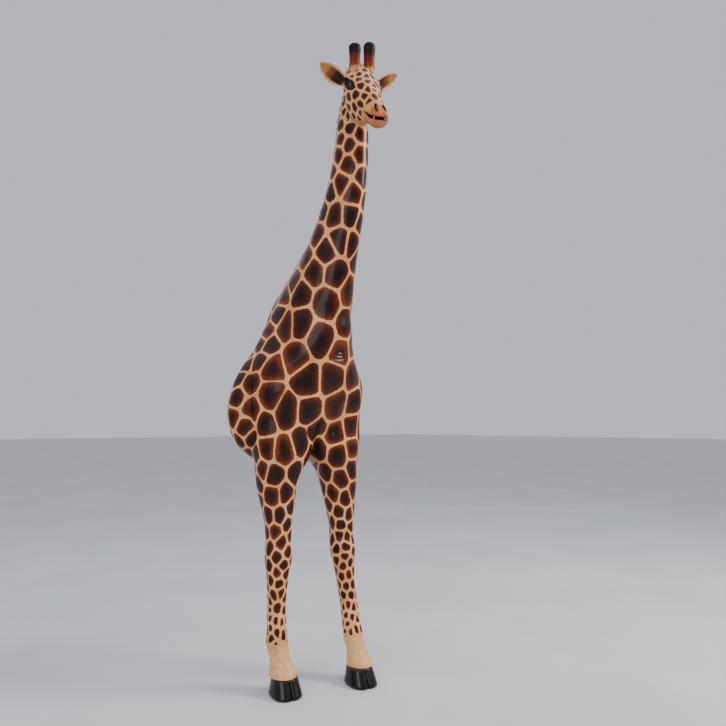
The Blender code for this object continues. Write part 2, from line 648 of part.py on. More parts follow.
def clamp_block(name, height, board):
    """Welded stand-off with a bored block that holds the spine tube to the board."""
    face = -BOARD_BACK - BOARD_THICK - GAP
    plate, reach, half_boss, half_plate = face - 0.006, -SPINE_FORWARD - 0.030, 0.028, 0.060
    outline = [(-half_plate, face), (half_plate, face), (half_plate, plate), (half_boss, plate),
               (half_boss, reach), (-half_boss, reach), (-half_boss, plate), (-half_plate, plate)]
    block = add_object(name, prism(outline, "Z", height - 0.02, height + 0.02), "steel", smooth=0)
    bore = rod((0, -SPINE_FORWARD, height - 0.05), (0, -SPINE_FORWARD, height + 0.05), SPINE_RADIUS + GAP, 20)
    cut(block, add_cutter(name + "_bore", bore))
    for k, x in enumerate((-0.046, 0.046)):
        add_board_bolt(f"{name}_bolt_{k + 1}", (x, plate, height), block, board)


def add_board_bolt(name, head_at, bracket, board):
    """Bolt from a bracket's front face through the bracket and into the board."""
    head_at = Vector(head_at) - Vector((0, GAP, 0))
    screw(name, head_at, (0, 1, 0), 0.0215, 0.003, 0.0055, 0.004)
    hole = add_cutter(name + "_hole", rod(head_at - Vector((0, 0.001, 0)), head_at + Vector((0, 0.0225, 0)),
                                          0.003 + GAP, 10))
    cut(bracket, hole)
    cut(board, hole)


def make_frame(board):
    route = spine_route()
    add_object("spine_tube", swept_bar(route, SPINE_RADIUS, 10, SPINE_RADIUS - 0.0025), "steel", 60)
    clamp_block("spine_clamp_lower", 1.40, board)
    clamp_block("spine_clamp_upper", 1.60, board)
    middle = -0.120
    bar = box((-0.215, middle - BAR_HALF, BAR_HEIGHT - BAR_HALF),
              (0.215, middle + BAR_HALF, BAR_HEIGHT + BAR_HALF))
    bar = add_object("shoulder_bar", bar, "steel", smooth=0)
    bore = box((-0.3, middle - BAR_HALF + 0.003, BAR_HEIGHT - BAR_HALF + 0.003),
               (0.3, middle + BAR_HALF - 0.003, BAR_HEIGHT + BAR_HALF - 0.003))
    cut(bar, add_cutter("shoulder_bar_bore", bore))
    face = -BOARD_BACK - BOARD_THICK - GAP
    for side, sign in (("right", -1), ("left", 1)):
        x = sign * 0.105
        outline = [(x - 0.035, face), (x + 0.035, face), (x + 0.035, face - 0.006), (x + 0.006, face - 0.006),
                   (x + 0.006, middle + BAR_HALF + GAP), (x - 0.006, middle + BAR_HALF + GAP),
                   (x - 0.006, face - 0.006), (x - 0.035, face - 0.006)]
        bracket = add_object(side + "_bar_bracket",
                             prism(outline, "Z", BAR_HEIGHT - 0.025, BAR_HEIGHT + 0.025),
                             "steel", smooth=0)
        for k, dx in enumerate((-0.022, 0.022)):
            add_board_bolt(f"{side}_bar_bolt_{k + 1}", (x + dx, face - 0.006, BAR_HEIGHT), bracket, board)


def make_legs():
    for side, sign, stations, at in (("right", -1, RIGHT_LEG, RIGHT_HOOF_AT),
                                     ("left", 1, LEFT_LEG, LEFT_HOOF_AT)):
        route = rod_route(SHOULDER + stations, sign)
        add_object(side + "_leg_rod", swept_bar(route, ROD_RADIUS, 10), "steel", 60)
        make_hoof(side, at, route)
        rows = [s for s in resample(SHOULDER + stations, 200) if LEG_SEAM - 0.035 <= s[2] <= LEG_SEAM + 0.030]
        rows = [(sign * s[0], *s[1:]) for s in rows]
        sleeve = hollow_loft(rows, 4, 20, WALL_SHELL + 0.006, WALL_SHELL + 0.010)
        add_object(side + "_leg_sleeve", sleeve, "laminate", 60)


def make_neck_joint():
    rows = [s for s in resample(TRUNK, 400) if NECK_SEAM - 0.04 <= s[2] <= NECK_SEAM + 0.04]
    add_object("neck_sleeve", hollow_loft(rows, 4, 24, WALL_SHELL + 0.007, WALL_SHELL + 0.011),
               "laminate", 60)
    rows = [s for s in resample(TRUNK, 400) if 2.30 <= s[2] <= 2.312]
    brace = loft([rows[0], rows[-1]], 2, 20, inset=WALL_SHELL + 0.008)
    brace = add_object("neck_brace", brace, "plywood", smooth=0)
    low, high = Vector((0, -rows[0][1] + 0.006, 2.27)), Vector((0, -rows[0][1] - 0.006, 2.345))
    cut(brace, add_cutter("neck_brace_bore", rod(low, high, SPINE_RADIUS + 0.006, 16)))
    route = spine_route()
    along = (route[-1] - route[-2]).normalized()
    plate = rod(route[-1] + along * GAP, route[-1] + along * 0.008, 0.034, 16)
    add_object("head_plate", plate, "steel", 40)


def main():
    clear_scene()
    origin = bpy.data.objects.new("statue_origin", None)
    bpy.context.scene.collection.objects.link(origin)
    body_form, head_form, head = make_shells()
    place = head_place()
    body_skin = swollen("body_skin", body_form, 0.0006)
    head_skin = swollen("head_skin", head_form, 0.0006)
    make_eyes(head, place)
    make_ossicones(head, place)
    make_ears(head, place)
    make_mouth(head, place)
    mane_strip("torso_mane", 1.925, NECK_SEAM - 0.006, 3, [body_skin])
    mane_strip("neck_mane", NECK_SEAM + 0.004, 2.66, 15, [body_skin, head_skin])
    board = make_board()
    make_cleats(board)
    make_frame(board)
    make_legs()
    make_neck_joint()
    origin.location = (0, 0, -MOUNT_HEIGHT)


main()
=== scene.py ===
"""Looks for the half giraffe wall statue: glossy airbrushed glass-fibre skin, hooves, face and mane.

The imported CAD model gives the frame. Shapes are written in metres above the floor; `put` moves them
into the model's frame, whose origin is on the wall cleat. The giraffe faces -Y, +X is its own left.
"""
from math import cos, pi, radians, sin

import bmesh
import bpy
import numpy as np
from mathutils import Matrix, Vector


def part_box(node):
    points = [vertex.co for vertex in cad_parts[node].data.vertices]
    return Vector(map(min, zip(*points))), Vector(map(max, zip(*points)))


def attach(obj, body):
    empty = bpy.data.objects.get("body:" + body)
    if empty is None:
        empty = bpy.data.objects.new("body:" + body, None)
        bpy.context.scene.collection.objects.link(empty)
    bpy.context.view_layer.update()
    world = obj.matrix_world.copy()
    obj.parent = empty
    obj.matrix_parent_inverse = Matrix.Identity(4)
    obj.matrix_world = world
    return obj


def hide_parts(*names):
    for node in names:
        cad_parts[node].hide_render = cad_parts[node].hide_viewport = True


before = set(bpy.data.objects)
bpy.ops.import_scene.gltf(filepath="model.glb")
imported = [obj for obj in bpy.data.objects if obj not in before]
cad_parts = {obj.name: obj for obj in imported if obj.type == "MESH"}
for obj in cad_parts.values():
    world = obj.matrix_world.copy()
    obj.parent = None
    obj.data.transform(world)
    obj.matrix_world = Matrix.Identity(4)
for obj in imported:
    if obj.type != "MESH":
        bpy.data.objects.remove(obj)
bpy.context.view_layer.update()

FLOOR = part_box("right_hoof")[0].z
LIFT = -FLOOR                      # the wall cleat's height above the floor
NECK_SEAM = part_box("torso_shell")[1].z + LIFT
LEG_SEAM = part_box("torso_shell")[0].z + LIFT
HOOF_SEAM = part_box("right_foreleg_shell")[0].z + LIFT
HEAD_SEAM_POINT = Vector((0, -0.540, 2.645))
HEAD_SEAM_TILT = radians(36)
HEAD_PIVOT = Vector((0, -0.46, 0))
HEAD_YAW = radians(-16)
HEAD_ROLL = radians(-6)
SKIN_THICK = 0.005
SHARP_ANGLE = radians(62)          # edges that bend more than this are shaded as creases
RIGHT_HORN_SQUAT = 0.86            # the right horn is a little shorter

BODY_VOXEL = 0.0045
HEAD_VOXEL = 0.0024

# ---- the shape: (x, forward from the wall, height, half width, half depth, lean in degrees) ------
TRUNK = (
    (0, 0.02, 1.036, 0.050, 0.030, 0), (0, 0.00, 1.046, 0.200, 0.090, 0),
    (0, 0.00, 1.086, 0.285, 0.150, 0), (0, 0.00, 1.158, 0.345, 0.205, 0),
    (0, 0.00, 1.270, 0.378, 0.265, 0), (0, 0.00, 1.380, 0.366, 0.310, 0),
    (0, 0.00, 1.490, 0.318, 0.348, 0), (0, 0.02, 1.600, 0.240, 0.364, 0),
    (0, 0.075, 1.710, 0.186, 0.334, 5), (0, 0.14, 1.800, 0.162, 0.270, 10),
    (0, 0.20, 1.880, 0.147, 0.228, 14), (0, 0.258, 1.970, 0.129, 0.190, 17),
    (0, 0.319, 2.080, 0.110, 0.155, 19), (0, 0.376, 2.200, 0.096, 0.132, 18),
    (0, 0.415, 2.310, 0.088, 0.118, 16), (0, 0.446, 2.420, 0.080, 0.106, 12),
    (0, 0.464, 2.530, 0.074, 0.096, 7), (0, 0.475, 2.640, 0.068, 0.089, 4),
    (0, 0.480, 2.735, 0.062, 0.078, 6), (0, 0.500, 2.815, 0.057, 0.066, 12),
    (0, 0.528, 2.872, 0.045, 0.046, 18),
)
SHOULDER = (
    (0.150, 0.10, 1.62, 0.070, 0.090, 0), (0.160, 0.125, 1.50, 0.118, 0.140, 0),
    (0.168, 0.125, 1.38, 0.140, 0.152, 0), (0.162, 0.122, 1.24, 0.140, 0.134, 0),
)
RIGHT_LEG = (
    (0.150, 0.130, 1.10, 0.147, 0.132, 0), (0.163, 0.130, 1.03, 0.123, 0.121, 0),
    (0.181, 0.130, 0.96, 0.099, 0.112, 0),
    (0.182, 0.136, 0.86, 0.079, 0.094, 0), (0.180, 0.142, 0.77, 0.064, 0.078, 0),
    (0.178, 0.143, 0.68, 0.057, 0.069, 0), (0.178, 0.144, 0.60, 0.060, 0.069, 0),
    (0.179, 0.142, 0.52, 0.053, 0.058, 0), (0.180, 0.140, 0.44, 0.045, 0.050, 0),
    (0.180, 0.139, 0.34, 0.044, 0.048, 0), (0.180, 0.141, 0.26, 0.046, 0.050, 0),
    (0.180, 0.148, 0.205, 0.050, 0.054, 0), (0.180, 0.170, 0.15, 0.048, 0.053, 14),
    (0.180, 0.192, 0.10, 0.053, 0.060, 14), (0.180, 0.200, 0.05, 0.058, 0.066, 8),
)
LEFT_LEG = (
    (0.150, 0.134, 1.10, 0.147, 0.132, 0), (0.163, 0.138, 1.03, 0.122, 0.120, 3),
    (0.181, 0.142, 0.96, 0.098, 0.111, 5),
    (0.182, 0.153, 0.86, 0.077, 0.091, 6), (0.182, 0.165, 0.77, 0.063, 0.076, 7),
    (0.180, 0.178, 0.68, 0.056, 0.068, 7), (0.179, 0.189, 0.60, 0.059, 0.068, 7),
    (0.180, 0.200, 0.52, 0.052, 0.057, 8), (0.180, 0.215, 0.44, 0.045, 0.050, 10),
    (0.181, 0.238, 0.34, 0.044, 0.048, 12), (0.181, 0.257, 0.26, 0.046, 0.050, 13),
    (0.180, 0.277, 0.19, 0.050, 0.054, 15), (0.180, 0.303, 0.125, 0.049, 0.055, 16),
    (0.179, 0.318, 0.090, 0.054, 0.061, 12), (0.177, 0.324, 0.05, 0.058, 0.066, 8),
)
LEAN = -27                         # lean of the head's sections
HEAD = (
    (0, 0.094, 2.912, 0.030, 0.020, LEAN), (0, 0.104, 2.888, 0.060, 0.050, LEAN),
    (0, 0.112, 2.856, 0.073, 0.067, LEAN), (0, 0.121, 2.808, 0.083, 0.082, LEAN),
    (0, 0.142, 2.747, 0.083, 0.093, LEAN), (0, 0.163, 2.699, 0.073, 0.093, LEAN),
    (0, 0.194, 2.668, 0.060, 0.078, LEAN), (0, 0.222, 2.640, 0.051, 0.062, LEAN),
    (0, 0.247, 2.615, 0.047, 0.050, LEAN), (0, 0.266, 2.587, 0.046, 0.042, LEAN),
    (0, 0.274, 2.571, 0.037, 0.030, LEAN), (0, 0.277, 2.564, 0.020, 0.014, LEAN),
)


# ---- numbers and meshes ----------------------------------------------------------------------------
def mirrored(stations):
    return tuple((-s[0], *s[1:]) for s in stations)


def resample(stations, count):
    """Cubic Hermite interpolation of the stations at equal steps of length, one row per section."""
    table = np.array(stations, float)
    step = np.maximum(np.linalg.norm(np.diff(table[:, :3], axis=0), axis=1), 1e-4)
    at = np.concatenate([[0], np.cumsum(step)])
    slope = np.empty_like(table)
    slope[1:-1] = (table[2:] - table[:-2]) / (at[2:] - at[:-2])[:, None]
    slope[0] = (table[1] - table[0]) / step[0]
    slope[-1] = (table[-1] - table[-2]) / step[-1]
    want = np.linspace(0, at[-1], count)
    i = np.clip(np.searchsorted(at, want, side="right") - 1, 0, len(at) - 2)
    span = step[i][:, None]
    t = ((want - at[i]) / step[i])[:, None]
    return ((2 * t**3 - 3 * t**2 + 1) * table[i] + (t**3 - 2 * t**2 + t) * span * slope[i]
            + (3 * t**2 - 2 * t**3) * table[i + 1] + (t**3 - t**2) * span * slope[i + 1])


def ring_angles(sides):
    return np.arange(sides) * 2 * pi / sides


def section(station, sides):
    x, forward, height, half_width, half_depth, lean = station
    turn = ring_angles(sides)
    along = half_depth * np.sin(turn)
    return np.stack([x + half_width * np.cos(turn), -(forward + along * cos(radians(lean))),
                     height - along * sin(radians(lean))], 1)


def grid_faces(rows, sides):
    """Quads between rows of a ring grid."""
    faces = []
    for r in range(rows - 1):
        for k in range(sides):
            n = (k + 1) % sides
            faces.append((r * sides + k, r * sides + n, (r + 1) * sides + n, (r + 1) * sides + k))
    return faces


def tube(rings):
    """Closed surface from rings, with flat ends, as (points, faces)."""
    rows, sides = len(rings), len(rings[0])
    faces = grid_faces(rows, sides)
    faces.append(tuple(range(sides))[::-1])
    faces.append(tuple(range((rows - 1) * sides, rows * sides)))
    return np.concatenate(rings), faces


def loft(stations, count, sides):
    return tube([section(s, sides) for s in resample(stations, count)])


def make_mesh(name, points, faces):
    """Mesh whose faces all look outwards."""
    mesh = bpy.data.meshes.new(name)
    mesh.from_pydata([tuple(p) for p in points], [], [tuple(f) for f in faces])
    bm = bmesh.new()
    bm.from_mesh(mesh)
    bmesh.ops.recalc_face_normals(bm, faces=bm.faces)
    bm.to_mesh(mesh)
    bm.free()
    mesh.update()
    return mesh


def put(name, mesh, materials, replaces=()):
    """A finished piece: moved into the model's frame, riding on the statue's one body."""
    mesh.transform(Matrix.Translation((0, 0, -LIFT)))
    piece = bpy.data.objects.new(name, mesh)
    bpy.context.scene.collection.objects.link(piece)
    numbers = np.zeros(len(mesh.polygons), np.int32)
    mesh.polygons.foreach_get("material_index", numbers)
    mesh.materials.clear()
    for mat in materials:
        mesh.materials.append(mat)
    mesh.polygons.foreach_set("material_index", np.minimum(numbers, len(materials) - 1))
    mesh.shade_smooth()
    mesh.set_sharp_from_angle(angle=SHARP_ANGLE)
    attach(piece, "root")
    if replaces:
        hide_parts(*replaces)


def joined(parts):
    """Several (points, faces) surfaces as one."""
    points, faces, start = [], [], 0
    for p, f in parts:
        points.append(p)
        faces += [tuple(i + start for i in face) for face in f]
        start += len(p)
    return np.concatenate(points), faces


def melted(parts, voxel, carve=None):
    """Union of overlapping closed lofts as one even skin of quads: (points, faces as an n x 4 array)."""
    block = bpy.data.objects.new("melt", make_mesh("melt", *joined(parts)))
    bpy.context.scene.collection.objects.link(block)
    remesh = block.modifiers.new("melt", "REMESH")
    remesh.mode = "VOXEL"
    remesh.voxel_size = voxel
    cutter = None
    if carve:
        cutter = bpy.data.objects.new("carve", make_mesh("carve", *carve))
        bpy.context.scene.collection.objects.link(cutter)
        hole = block.modifiers.new("carve", "BOOLEAN")
        hole.object = cutter
        again = block.modifiers.new("again", "REMESH")
        again.mode = "VOXEL"
        again.voxel_size = voxel
    graph = bpy.context.evaluated_depsgraph_get()
    mesh = block.evaluated_get(graph).to_mesh()
    co = np.empty(len(mesh.vertices) * 3)
    mesh.vertices.foreach_get("co", co)
    quads = np.empty(len(mesh.polygons) * 4, int)
    mesh.loops.foreach_get("vertex_index", quads)
    block.evaluated_get(graph).to_mesh_clear()
    bpy.data.objects.remove(block)
    if cutter:
        bpy.data.objects.remove(cutter)
    return co.reshape(-1, 3), quads.reshape(-1, 4)


def edges_of(quads):
    pairs = np.concatenate([quads[:, [0, 1]], quads[:, [1, 2]], quads[:, [2, 3]], quads[:, [3, 0]]])
    return np.unique(np.sort(pairs, axis=1), axis=0)


def relax(points, edges, rounds, mask=None, keep_volume=True):
    """Laplacian smoothing; with keep_volume every second pass swells back (Taubin)."""
    count = len(points)
    degree = np.bincount(edges.ravel(), minlength=count)[:, None]
    weight = np.ones((count, 1)) if mask is None else mask[:, None]
    for step in range(rounds):
        factor = -0.53 if keep_volume and step % 2 else 0.5
        mean = np.empty_like(points)
        for k in range(3):
            mean[:, k] = (np.bincount(edges[:, 0], points[edges[:, 1], k], count)
                          + np.bincount(edges[:, 1], points[edges[:, 0], k], count))
        points = points + factor * weight * (mean / degree - points)
    return points


def normals_of(points, quads):
    cross = np.cross(points[quads[:, 2]] - points[quads[:, 0]], points[quads[:, 3]] - points[quads[:, 1]])
    total = np.stack([np.bincount(quads.ravel(), np.repeat(cross[:, k], 4), len(points))
                      for k in range(3)], 1)
    return total / np.maximum(np.linalg.norm(total, axis=1, keepdims=True), 1e-12)


def bell(value, width):
    """Smooth peak of height 1 at value 0."""
    return np.exp(-(value / width) ** 2)


def unit(vector):
    return vector / np.linalg.norm(vector)


def step_up(x, low, high):
    t = np.clip((x - low) / (high - low), 0, 1)
    return t * t * (3 - 2 * t)


def blob(points, centre, radius):
    """Gaussian bump around a point; radius may differ by axis."""
    return np.exp(-(((points - np.array(centre)) / np.array(radius)) ** 2).sum(1))


def line_distance(points, path):
    """Distance to a polyline and the share of its length at the nearest point."""
    path = np.array(path, float)
    lengths = np.linalg.norm(np.diff(path, axis=0), axis=1)
    whole = lengths.sum()
    best = np.full(len(points), 1e9)
    share = np.zeros(len(points))
    start = 0.0
    for a, b, length in zip(path, path[1:], lengths):
        t = np.clip(((points - a) @ (b - a)) / length**2, 0, 1)
        away = np.linalg.norm(points - (a + t[:, None] * (b - a)), axis=1)
        closer = away < best
        best[closer] = away[closer]
        share[closer] = (start + t[closer] * length) / whole
        start += length
    return best, share


def groove(points, path, width, fade=0.15):
    """Soft line along a path that fades out at both ends."""
    away, share = line_distance(points, path)
    return bell(away, width) * step_up(share, 0, fade) * step_up(1 - share, 0, fade)


def ripple(points, scale, seed):
    """Smooth made-up variation between about -1 and 1."""
    rng = np.random.default_rng(seed)
    total = np.zeros(len(points))
    for _ in range(7):
        wave = rng.normal(size=3) * scale
        total += np.sin(points @ wave + rng.uniform(0, 2 * pi))
    return total / 4.0


def head_turn():
    """Head's own frame to the statue: roll about its forward line, then yaw to its right."""
    up = Vector((0, 0, 2.78))
    roll = Matrix.Translation(up) @ Matrix.Rotation(HEAD_ROLL, 4, "Y") @ Matrix.Translation(-up)
    return Matrix.Translation(HEAD_PIVOT) @ Matrix.Rotation(HEAD_YAW, 4, "Z") @ roll


PLACE = np.array(head_turn())
UNPLACE = np.linalg.inv(PLACE)


def moved(points, matrix):
    return points @ matrix[:3, :3].T + matrix[:3, 3]


# ---- body skin ---------------------------------------------------------------------------------------
def body_skin():
    points, quads = melted([loft(TRUNK, 220, 120), loft(mirrored(SHOULDER + RIGHT_LEG), 220, 72),
                            loft(SHOULDER + LEFT_LEG, 220, 72)], BODY_VOXEL)
    edges = edges_of(quads)
    fine = (0.0045 / BODY_VOXEL) ** 2
    points = relax(points, edges, int(12 * fine) + 4)
    _, y, h = points.T
    # where shoulder, barrel and leg meet, the skin is drawn smooth
    junction = step_up(h, 0.93, 1.02) * (1 - step_up(h, 1.58, 1.70)) * (1 - step_up(-y, 0.36, 0.5))
    points = relax(points, edges, int(70 * fine), junction, keep_volume=False)
    points += body_sculpt(points, quads)
    points = relax(points, edges, 4)
    return points, quads


def body_sculpt(points, quads):
    """Muscle, folds and joints, as one push along the normals."""
    x, y, h = points.T
    push = np.zeros(len(points))
    for side in (1, -1):
        mx = np.stack([x * side, y, h], 1)
        # flank lobe behind the shoulder, with the groove that parts them
        flank = [(0.35, -0.060, 1.54), (0.35, -0.100, 1.46), (0.35, -0.120, 1.36), (0.35, -0.125, 1.26),
                 (0.35, -0.110, 1.17), (0.35, -0.085, 1.10)]
        seen = mx * np.array((0, 1, 1)) + np.array((0.35, 0, 0)) * (mx[:, :1] > 0.20)
        push -= 0.018 * groove(seen, flank, 0.017)
        push += 0.010 * blob(mx, (0.37, -0.03, 1.28), (0.09, 0.06, 0.17))
        # shoulder blade and upper arm
        push += 0.012 * blob(mx, (0.235, -0.265, 1.42), (0.085, 0.09, 0.12))
        push += 0.008 * blob(mx, (0.265, -0.20, 1.19), (0.06, 0.09, 0.10))
        push -= 0.006 * groove(mx, [(0.10, -0.36, 1.50), (0.17, -0.335, 1.33), (0.20, -0.27, 1.16)], 0.030)
        # breast: a full lobe on each side of a crease that runs to the fork of the legs
        push += 0.014 * blob(mx, (0.085, -0.30, 1.30), (0.060, 0.08, 0.10))
        push -= 0.010 * groove(mx, [(0.055, -0.25, 1.21), (0.085, -0.20, 1.13), (0.10, -0.14, 1.08)],
                               0.020)
        # neck: long muscle with a shallow hollow in front of it
        push -= 0.005 * groove(mx, [(0.11, -0.33, 1.78), (0.085, -0.40, 2.05), (0.070, -0.47, 2.35),
                                    (0.060, -0.50, 2.58)], 0.030)
    push -= 0.016 * groove(points, [(0, -0.33, 1.36), (0, -0.29, 1.27), (0, -0.22, 1.18), (0, -0.15, 1.10)],
                           0.017)
    # windpipe
    push += 0.005 * groove(points, [(0, -0.41, 1.70), (0, -0.46, 1.95), (0, -0.50, 2.15), (0, -0.54, 2.45)],
                           0.030)
    push -= 0.009 * throat_folds(points)
    push += leg_sculpt(points, RIGHT_LEG, -1)
    push += leg_sculpt(points, LEFT_LEG, 1)
    push += 0.0012 * ripple(points, 26, 5) * step_up(h, 0.3, 0.8)
    normal = normals_of(points, quads)
    return normal * push[:, None]


def nape_angle(points):
    """Angle round the neck from its back line, 0 on the mane and pi under the throat."""
    rows = resample(TRUNK, 300)
    x, y, h = points.T
    wide, deep = (np.interp(h, rows[:, 2], rows[:, k]) for k in (3, 4))
    middle = -np.interp(h, rows[:, 2], rows[:, 1])
    return np.arctan2(np.abs(x) / wide, (y - middle) / deep)


def throat_folds(points, rings=(0.016, 0.033, 0.050), width=0.0060):
    """Nested arcs where the neck meets the breast, 0 to 1, measured on the front view."""
    front = points * np.array((1, 0, 1))
    front[:, 1] = np.where(points[:, 1] < -0.20, 0, 1)
    folds = np.zeros(len(points))
    for ring in rings:
        arc = [(ring * 1.35 * sin(a) + 0.014, 0, 1.588 - ring * cos(a)) for a in np.linspace(-1.25, 1.25, 11)]
        folds = np.maximum(folds, groove(front, arc, width, fade=0.35))
    return folds


def leg_sculpt(points, stations, side):
    """Knee, tendons, fetlock and pastern folds, measured from the leg's own middle line."""
    rows = resample(stations, 160)
    rows = rows[rows[:, 2].argsort()]
    h = points[:, 2]
    cx = side * np.interp(h, rows[:, 2], rows[:, 0])
    cy = -np.interp(h, rows[:, 2], rows[:, 1])
    on_leg = (points[:, 0] * side > 0) & (h < 1.0)
    ax = (points[:, 0] - cx) * side
    ay = points[:, 1] - cy
    turn = np.arctan2(ax, -ay)      # 0 at the front, + on the outside
    front = bell(turn, 0.75)
    back = bell(np.abs(turn) - pi, 0.55)
    flank = bell(np.abs(turn) - pi / 2, 0.5)
    push = 0.007 * front * bell(h - 0.605, 0.045)
    push -= 0.004 * front * (bell(h - 0.665, 0.018) + bell(h - 0.535, 0.020))
    push += 0.003 * flank * bell(h - 0.60, 0.055)
    push += 0.005 * back * bell(h - 0.63, 0.035)
    # cannon bone, and the tendon behind it with a hollow between them
    shaft = step_up(h, 0.22, 0.28) * (1 - step_up(h, 0.50, 0.56))
    push -= 0.0045 * bell(np.abs(turn) - 1.95, 0.32) * shaft
    push += 0.003 * back * shaft
    # forearm muscle above the knee
    push += 0.006 * bell(turn - 1.1, 0.8) * bell(h - 0.84, 0.08)
    push -= 0.003 * bell(turn - 0.15, 0.22) * bell(h - 0.80, 0.10)
    # fetlock with its two small dew claws behind
    low = 0.20
    push += 0.0045 * back * bell(h - low, 0.028)
    push += 0.002 * front * bell(h - low, 0.03)
    for claw in (2.45, -2.45):
        push += 0.006 * bell(turn - claw, 0.17) * bell(h - low + 0.022, 0.012)
    # pastern: fine level folds, and a crease down the middle towards the cleft
    band = step_up(h, 0.080, 0.095) * (1 - step_up(h, 0.165, 0.185))
    wave = np.sin(h / 0.0125 * 2 * pi + 0.9 * np.sin(turn * 2 + side))
    push += 0.0007 * wave * band * (0.4 + 0.6 * front)
    push -= 0.0035 * bell(turn + 0.12, 0.07) * step_up(h, 0.088, 0.10) * (1 - step_up(h, 0.12, 0.15))
    push += (0.005 + 0.006 * front) * (1 - step_up(h, 0.095, 0.150))
    return np.where(on_leg, push, 0)


# ---- coat: rounded patches with a painted rim, from scattered seeds ----------------------------------
def patch_spacing(points):
    """Distance between neighbouring patches, by height on the body and by how near the wall it is."""
    _, y, h = points.T
    size = np.interp(h, [0.18, 0.26, 0.40, 0.60, 0.80, 0.98, 1.12, 1.30, 1.70, 1.90, 2.10, 2.35, 2.60, 2.75],
                     [0.026, 0.031, 0.038, 0.048, 0.062, 0.080, 0.105, 0.138, 0.138, 0.126, 0.102,
                      0.082, 0.066, 0.056])
    near_wall = (1 - step_up(-y, 0.05, 0.16)) * step_up(h, 1.0, 1.1) * (1 - step_up(h, 1.7, 1.9))
    size = size * (1 - 0.30 * near_wall)
    return size * (1 + np.interp(h, [0.5, 0.9], [0.10, 0.26]) * ripple(points, 9, 11))


def line_half_width(points, spacing):
    """Half the width of the cream lines; on the shins the patches shrink to separate spots."""
    h = points[:, 2]
    wide = np.interp(h, [0.18, 0.30, 0.45, 0.70, 1.0, 1.4, 2.0, 2.7],
                     [0.0058, 0.0052, 0.0044, 0.0040, 0.0042, 0.0044, 0.0042, 0.0042])
    return np.minimum(wide * (1 + 0.25 * ripple(points, 14, 77)), spacing * 0.24)


SOCK_TOP = 0.212           # height where the patches end
SOCK_ROUND = 0.006         # how far their lower corners are rounded
SEED_GAP = 0.80            # least distance between seeds, in patch spacings
SIDE_GAP = 0.25            # how much opposite sides of a limb count as apart


def scatter(points, normals, spacing, stretch, rng, allowed):
    """Seeds at least one spacing apart, then evened out over their cells."""
    order = rng.permutation(np.flatnonzero(allowed))[:60000]
    seeds = []
    pos = np.empty((4000, 7))
    for i in order:
        if seeds:
            near = pos[:len(seeds)]
            d = points[i] - near[:, :3]
            bend = 1 - (normals[i] * near[:, 3:6]).sum(1)
            size = 0.5 * (spacing[i] + near[:, 6])
            gap = d[:, 0] ** 2 + d[:, 1] ** 2 + (d[:, 2] / stretch) ** 2 + SIDE_GAP * size**2 * bend
            if (gap < (SEED_GAP * size) ** 2).any():
                continue
        pos[len(seeds)] = (*points[i], *normals[i], spacing[i])
        seeds.append(i)
    for _ in range(2):
        owner = nearest(points, normals, spacing, pos[:len(seeds)], stretch, 1)[1][:, 0]
        for k in range(len(seeds)):
            cell = np.flatnonzero(owner == k)
            if len(cell) < 4:
                continue
            centre = 0.65 * points[cell].mean(0) + 0.35 * pos[k, :3]
            best = cell[np.argmin(((points[cell] - centre) ** 2).sum(1))]
            pos[k] = (*points[best], *normals[best], spacing[best])
    return pos[:len(seeds)].copy()


def nearest(points, normals, spacing, seeds, stretch, want):
    """The few nearest seeds of every point: (squared distances, indices), nearest first."""
    scale = np.array([1, 1, 1 / stretch])
    a = points * scale
    b = seeds[:, :3] * scale
    dist = np.empty((len(points), want))
    index = np.empty((len(points), want), int)
    for start in range(0, len(points), 8000):
        part = slice(start, start + 8000)
        d = (a[part] ** 2).sum(1)[:, None] + (b**2).sum(1)[None] - 2 * a[part] @ b.T
        d += SIDE_GAP * seeds[None, :, 6] ** 2 * (1 - normals[part] @ seeds[:, 3:6].T)
        pick = np.argpartition(d, want - 1, axis=1)[:, :want] if want < d.shape[1] else np.argsort(d, axis=1)
        value = np.take_along_axis(d, pick, 1)
        order = np.argsort(value, axis=1)
        index[part] = np.take_along_axis(pick, order, 1)
        dist[part] = np.take_along_axis(value, order, 1)
    return dist, index


def coat(points, quads, spacing, half_line, stretch, rng, allowed, round_off=0.006, warp=0.16):
    """Patch layout per point: signed distance inside a patch in metres, depth 0..1, and a tone per patch."""
    normals = normals_of(points, quads)
    bent = points.copy()
    for k in range(3):
        bent[:, k] += warp * spacing * 0.30 * ripple(points / spacing.mean(), 0.9, 60 + k)
    seeds = scatter(bent, normals, spacing, stretch, rng, allowed)
    dist, index = nearest(bent, normals, spacing, seeds, stretch, min(8, len(seeds)))
    flat = seeds[:, :3] * np.array([1, 1, 1 / stretch])
    apart = np.linalg.norm(flat[index[:, 1:]] - flat[index[:, :1]], axis=2)
    gap = (dist[:, 1:] - dist[:, :1]) / (2 * np.maximum(apart, 1e-4))
    soft = -round_off * np.log(np.exp(-gap / np.reshape(round_off, (-1, 1))).sum(1))
    edge = soft - half_line
    depth = np.clip(edge / np.maximum(0.36 * spacing - half_line, 1e-4), -1, 1)
    depth *= np.clip(0.42 + 0.58 * spacing / 0.11, 0, 1)
    tone = rng.uniform(0, 1, len(seeds))[index[:, 0]]
    return edge, depth, tone


def paint_layers(mesh, layers):
    for name, values in layers.items():
        layer = mesh.attributes.new(name, "FLOAT", "POINT")
        layer.data.foreach_set("value", np.asarray(values, np.float32))


